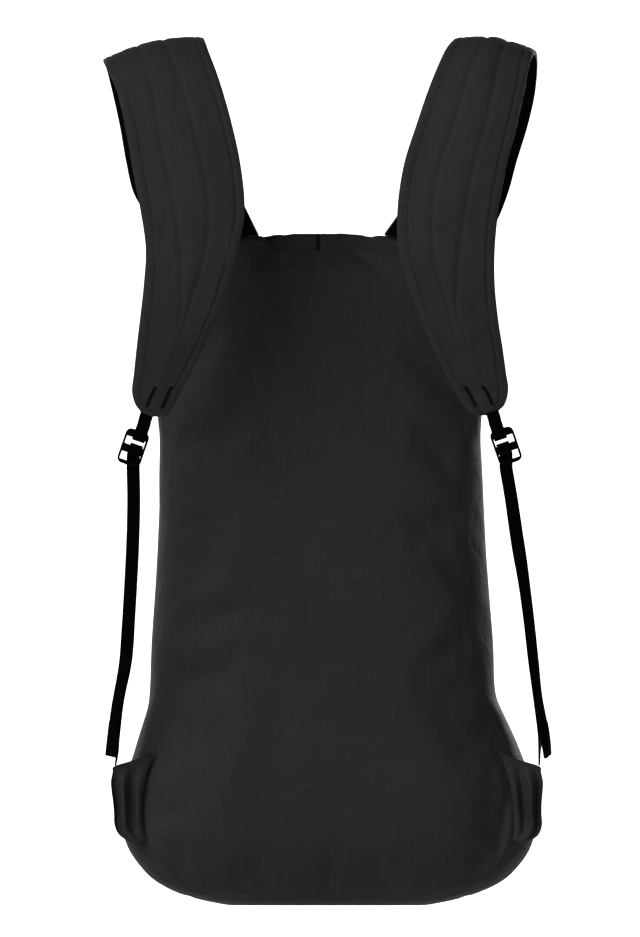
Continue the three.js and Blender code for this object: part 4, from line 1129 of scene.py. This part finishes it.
def adjuster_stations(side):
    across, at = buckle_frame(side)
    rows = WEBBING_ROWS[side]
    top = WING_TOP - WING_HEIGHT * (1 - ANCHOR_ALONG)
    point = seam_place(side, top / BAG_HEIGHT)[0]
    reach = WING_REACH * read(WING_OUTLINE, 1, ANCHOR_ALONG)
    anchor = Vector((point.x + side * (reach - ANCHOR_INSET), point.y - WING_THICKNESS - 1.5,
                     top + WEBBING_THICKNESS))
    behind = BAR_FACE + WEBBING_THICKNESS + FIT_GAP
    leave = -BUCKLE_HEIGHT / 2 - 2
    level = Vector((1, 0, 0))

    def hang(height):
        """Below the middle bar the strands hang upright, although the buckle leans."""
        below = max(MIDDLE_FOOT - STAND - height, 0)
        lean = smooth(0, MIDDLE_FOOT - leave, below)
        return (-side * (SLOT_PLAY + below * math.tan(math.radians(BUCKLE_TILT))),
                across.lerp(level, lean).normalized())

    def line(along, column):
        spot = load_exit.lerp(anchor, along)
        spot.x += side * read(rows, column, along) * WEBBING_WIDTH
        return spot

    def turned(along, column):
        turn = math.radians(read(rows, column, along))
        return (Vector((math.cos(turn), side * math.sin(turn), 0)),
                Vector((side * math.sin(turn), -math.cos(turn), 0)))

    exit_x = hang(leave)[0]
    load_exit, tail_exit = at(exit_x, leave, -behind), at(exit_x, leave, -BAR_FACE)
    stations, steps, t = [], 44, WEBBING_THICKNESS
    for n in range(steps + 1):
        along = 1 - n / steps
        stations.append((line(along, 1), turned(along, 3)[0], t))
    path = round_path([
        (leave, -behind), (MIDDLE_FOOT - STAND, -behind), (UPPER_SLOT + STAND, -behind),
        (UPPER_SLOT + STAND, BAR_FACE), (MIDDLE_FOOT - STAND, BAR_FACE),
        (MIDDLE_FOOT - STAND, -BAR_FACE), (leave, -BAR_FACE)], BEND, 6)
    for spot in path[1:-1]:
        x, way = hang(spot[0])
        stations.append((at(x, spot[0], spot[1]), way, t))
    hem = TAIL_LENGTH - HEM_LENGTH / (load_exit - anchor).length
    places = [hem * n / steps for n in range(steps + 1)]
    places += [hem + 0.004] + [hem + (TAIL_LENGTH - hem) * n / 8 for n in range(1, 9)]
    for along in places:
        way, ahead = turned(along, 4)
        gap = WEBBING_THICKNESS + FIT_GAP + TAIL_STAND_OFF * smooth(0.6, 0.95, along)
        middle = tail_exit if along == 0 else line(along, 2) + ahead * gap
        stations.append((middle, way, t * (1.8 if along > hem else 1.0)))
    return stations


def bevelled_copy(node, name, width):
    """A CAD solid with its flat faces joined and its edges rounded."""
    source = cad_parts[node]
    mesh = source.data.copy()
    mesh.name = name
    bm = bmesh.new()
    bm.from_mesh(mesh)
    bmesh.ops.remove_doubles(bm, verts=bm.verts, dist=1e-6)
    bmesh.ops.dissolve_limit(bm, angle_limit=math.radians(2), verts=bm.verts, edges=bm.edges)
    sharp = [e for e in bm.edges if len(e.link_faces) == 2 and e.calc_face_angle(0) > math.radians(50)]
    bmesh.ops.bevel(bm, geom=sharp, offset=width, segments=3, profile=0.5, affect="EDGES",
                    clamp_overlap=True)
    bm.to_mesh(mesh)
    bm.free()
    return finish_mesh(linked(name, mesh), angle=40)


for side, word in SIDES:
    place(ribbon(f"tip_webbing_{word}_band", tip_stations(side)), "webbing", WEB,
          [f"tip_webbing_{word}"])
    place(ribbon(f"adjuster_webbing_{word}_band", adjuster_stations(side)), "webbing", WEB,
          [f"adjuster_webbing_{word}"])
    place(bevelled_copy(f"buckle_{word}", f"buckle_{word}_frame", 0.0006), "hard_plastic", PLASTIC,
          [f"buckle_{word}"])
slider = bevelled_copy("zipper_slider", "zipper_slider_body", 0.0004)
place(slider, "hard_plastic", PLASTIC, ["zipper_slider"])

# Studio

FLOOR_SIZE = 24
FLOOR_DROP = 0.35
s = FLOOR_SIZE / 2
floor = mesh_object("floor", [(-s, -s, 0), (s, -s, 0), (s, s, 0), (-s, s, 0)], [(0, 1, 2, 3)],
                    metres=True)
floor.location = (0, 0, ORIGIN.z * 0.001 - FLOOR_DROP)
white, paint = new_material("floor_white", 0.9, 0.5)
paint.nodes["Principled BSDF"].inputs["Base Color"].default_value = (0.80, 0.80, 0.80, 1)
floor.data.materials.append(white)

world = bpy.data.worlds.new("studio")
scene.world = world
world.use_nodes = True
sky = NodeTree(world)
way = sky.add("ShaderNodeSeparateXYZ", {0: sky.add("ShaderNodeTexCoord", {})["Generated"]})


def ramp(value, low, high, reach):
    """A light that grows smoothly from nothing at low to reach at high."""
    inputs = {"Value": value, "From Min": low, "From Max": high, "To Max": reach}
    return sky.add("ShaderNodeMapRange", inputs, interpolation_type="SMOOTHSTEP")[0]


def toward(x, y, z):
    """The cosine of the angle between the sky's direction and this one."""
    length = math.sqrt(x * x + y * y + z * z)
    total = 0.0
    for part, share in zip(way, (x, y, z)):
        total = sky.math("ADD", total, sky.math("MULTIPLY", part, share / length))
    return total


# The sky: cosines or heights between which each light grows, and how bright it becomes.
level_band = sky.math("SUBTRACT", 0.10, sky.math("ABSOLUTE", way[2]), clamp=True)
soft_box = ramp(toward(-0.60, -0.68, 0.58), 0.84, 0.98, 5.8)
behind = ramp(toward(0, 1, 0), 0.6, 0.95, 0.95)
glow = sky.math("ADD", sky.math("ADD", soft_box, behind), 0.10)
glow = sky.math("ADD", glow, ramp(level_band, 0.0, 0.05, 0.75))
above = sky.math("ADD", ramp(way[2], -0.16, -0.03, 0.9), 0.1)
glow = sky.math("MULTIPLY", glow, above)
backdrop = sky.nodes["Background"]
sky.fill(backdrop.inputs["Color"], (1, 1, 1, 1))
sky.fill(backdrop.inputs["Strength"], glow)


LIGHT_SIZE = 0.5
LIGHT_TARGET = Vector((0, 0.1, -0.3))
for name, location, power in (("rim_left", (-0.95, 2.0, 0.35), 10),
                              ("rim_right", (1.05, 1.9, 0.35), 26)):
    light = bpy.data.lights.new(name, "AREA")
    light.shape = "DISK"
    light.size = LIGHT_SIZE
    light.energy = power
    lamp = linked(name, light)
    lamp.location = location
    lamp.rotation_euler = (LIGHT_TARGET - lamp.location).to_track_quat("-Z", "Y").to_euler()

# The picture: millimetres in a pixel, its height, the row of the bag's foot, and how many
# columns the bag's middle lies beside the picture's.
PIXEL = 0.72
FRAME_HEIGHT = 937
BAG_FOOT_ROW = 906
CENTRE_SHIFT = -2
CAMERA_DISTANCE = 20.0
SENSOR = 24
CLIP_END = 400
camera_data = bpy.data.cameras.new("camera")
camera = linked("camera", camera_data)
view_height = FRAME_HEIGHT * PIXEL * 0.001
camera_data.sensor_fit = "VERTICAL"
camera_data.sensor_height = SENSOR
camera_data.lens = SENSOR * CAMERA_DISTANCE / view_height
camera_data.clip_end = CLIP_END
centre_z = (ORIGIN.z + (BAG_FOOT_ROW - FRAME_HEIGHT / 2) * PIXEL) * 0.001
camera.location = (CENTRE_SHIFT * PIXEL * 0.001, 0.05 - CAMERA_DISTANCE, centre_z)
camera.rotation_euler = (math.pi / 2, 0, 0)
scene.camera = camera
scene.view_settings.view_transform = "Standard"
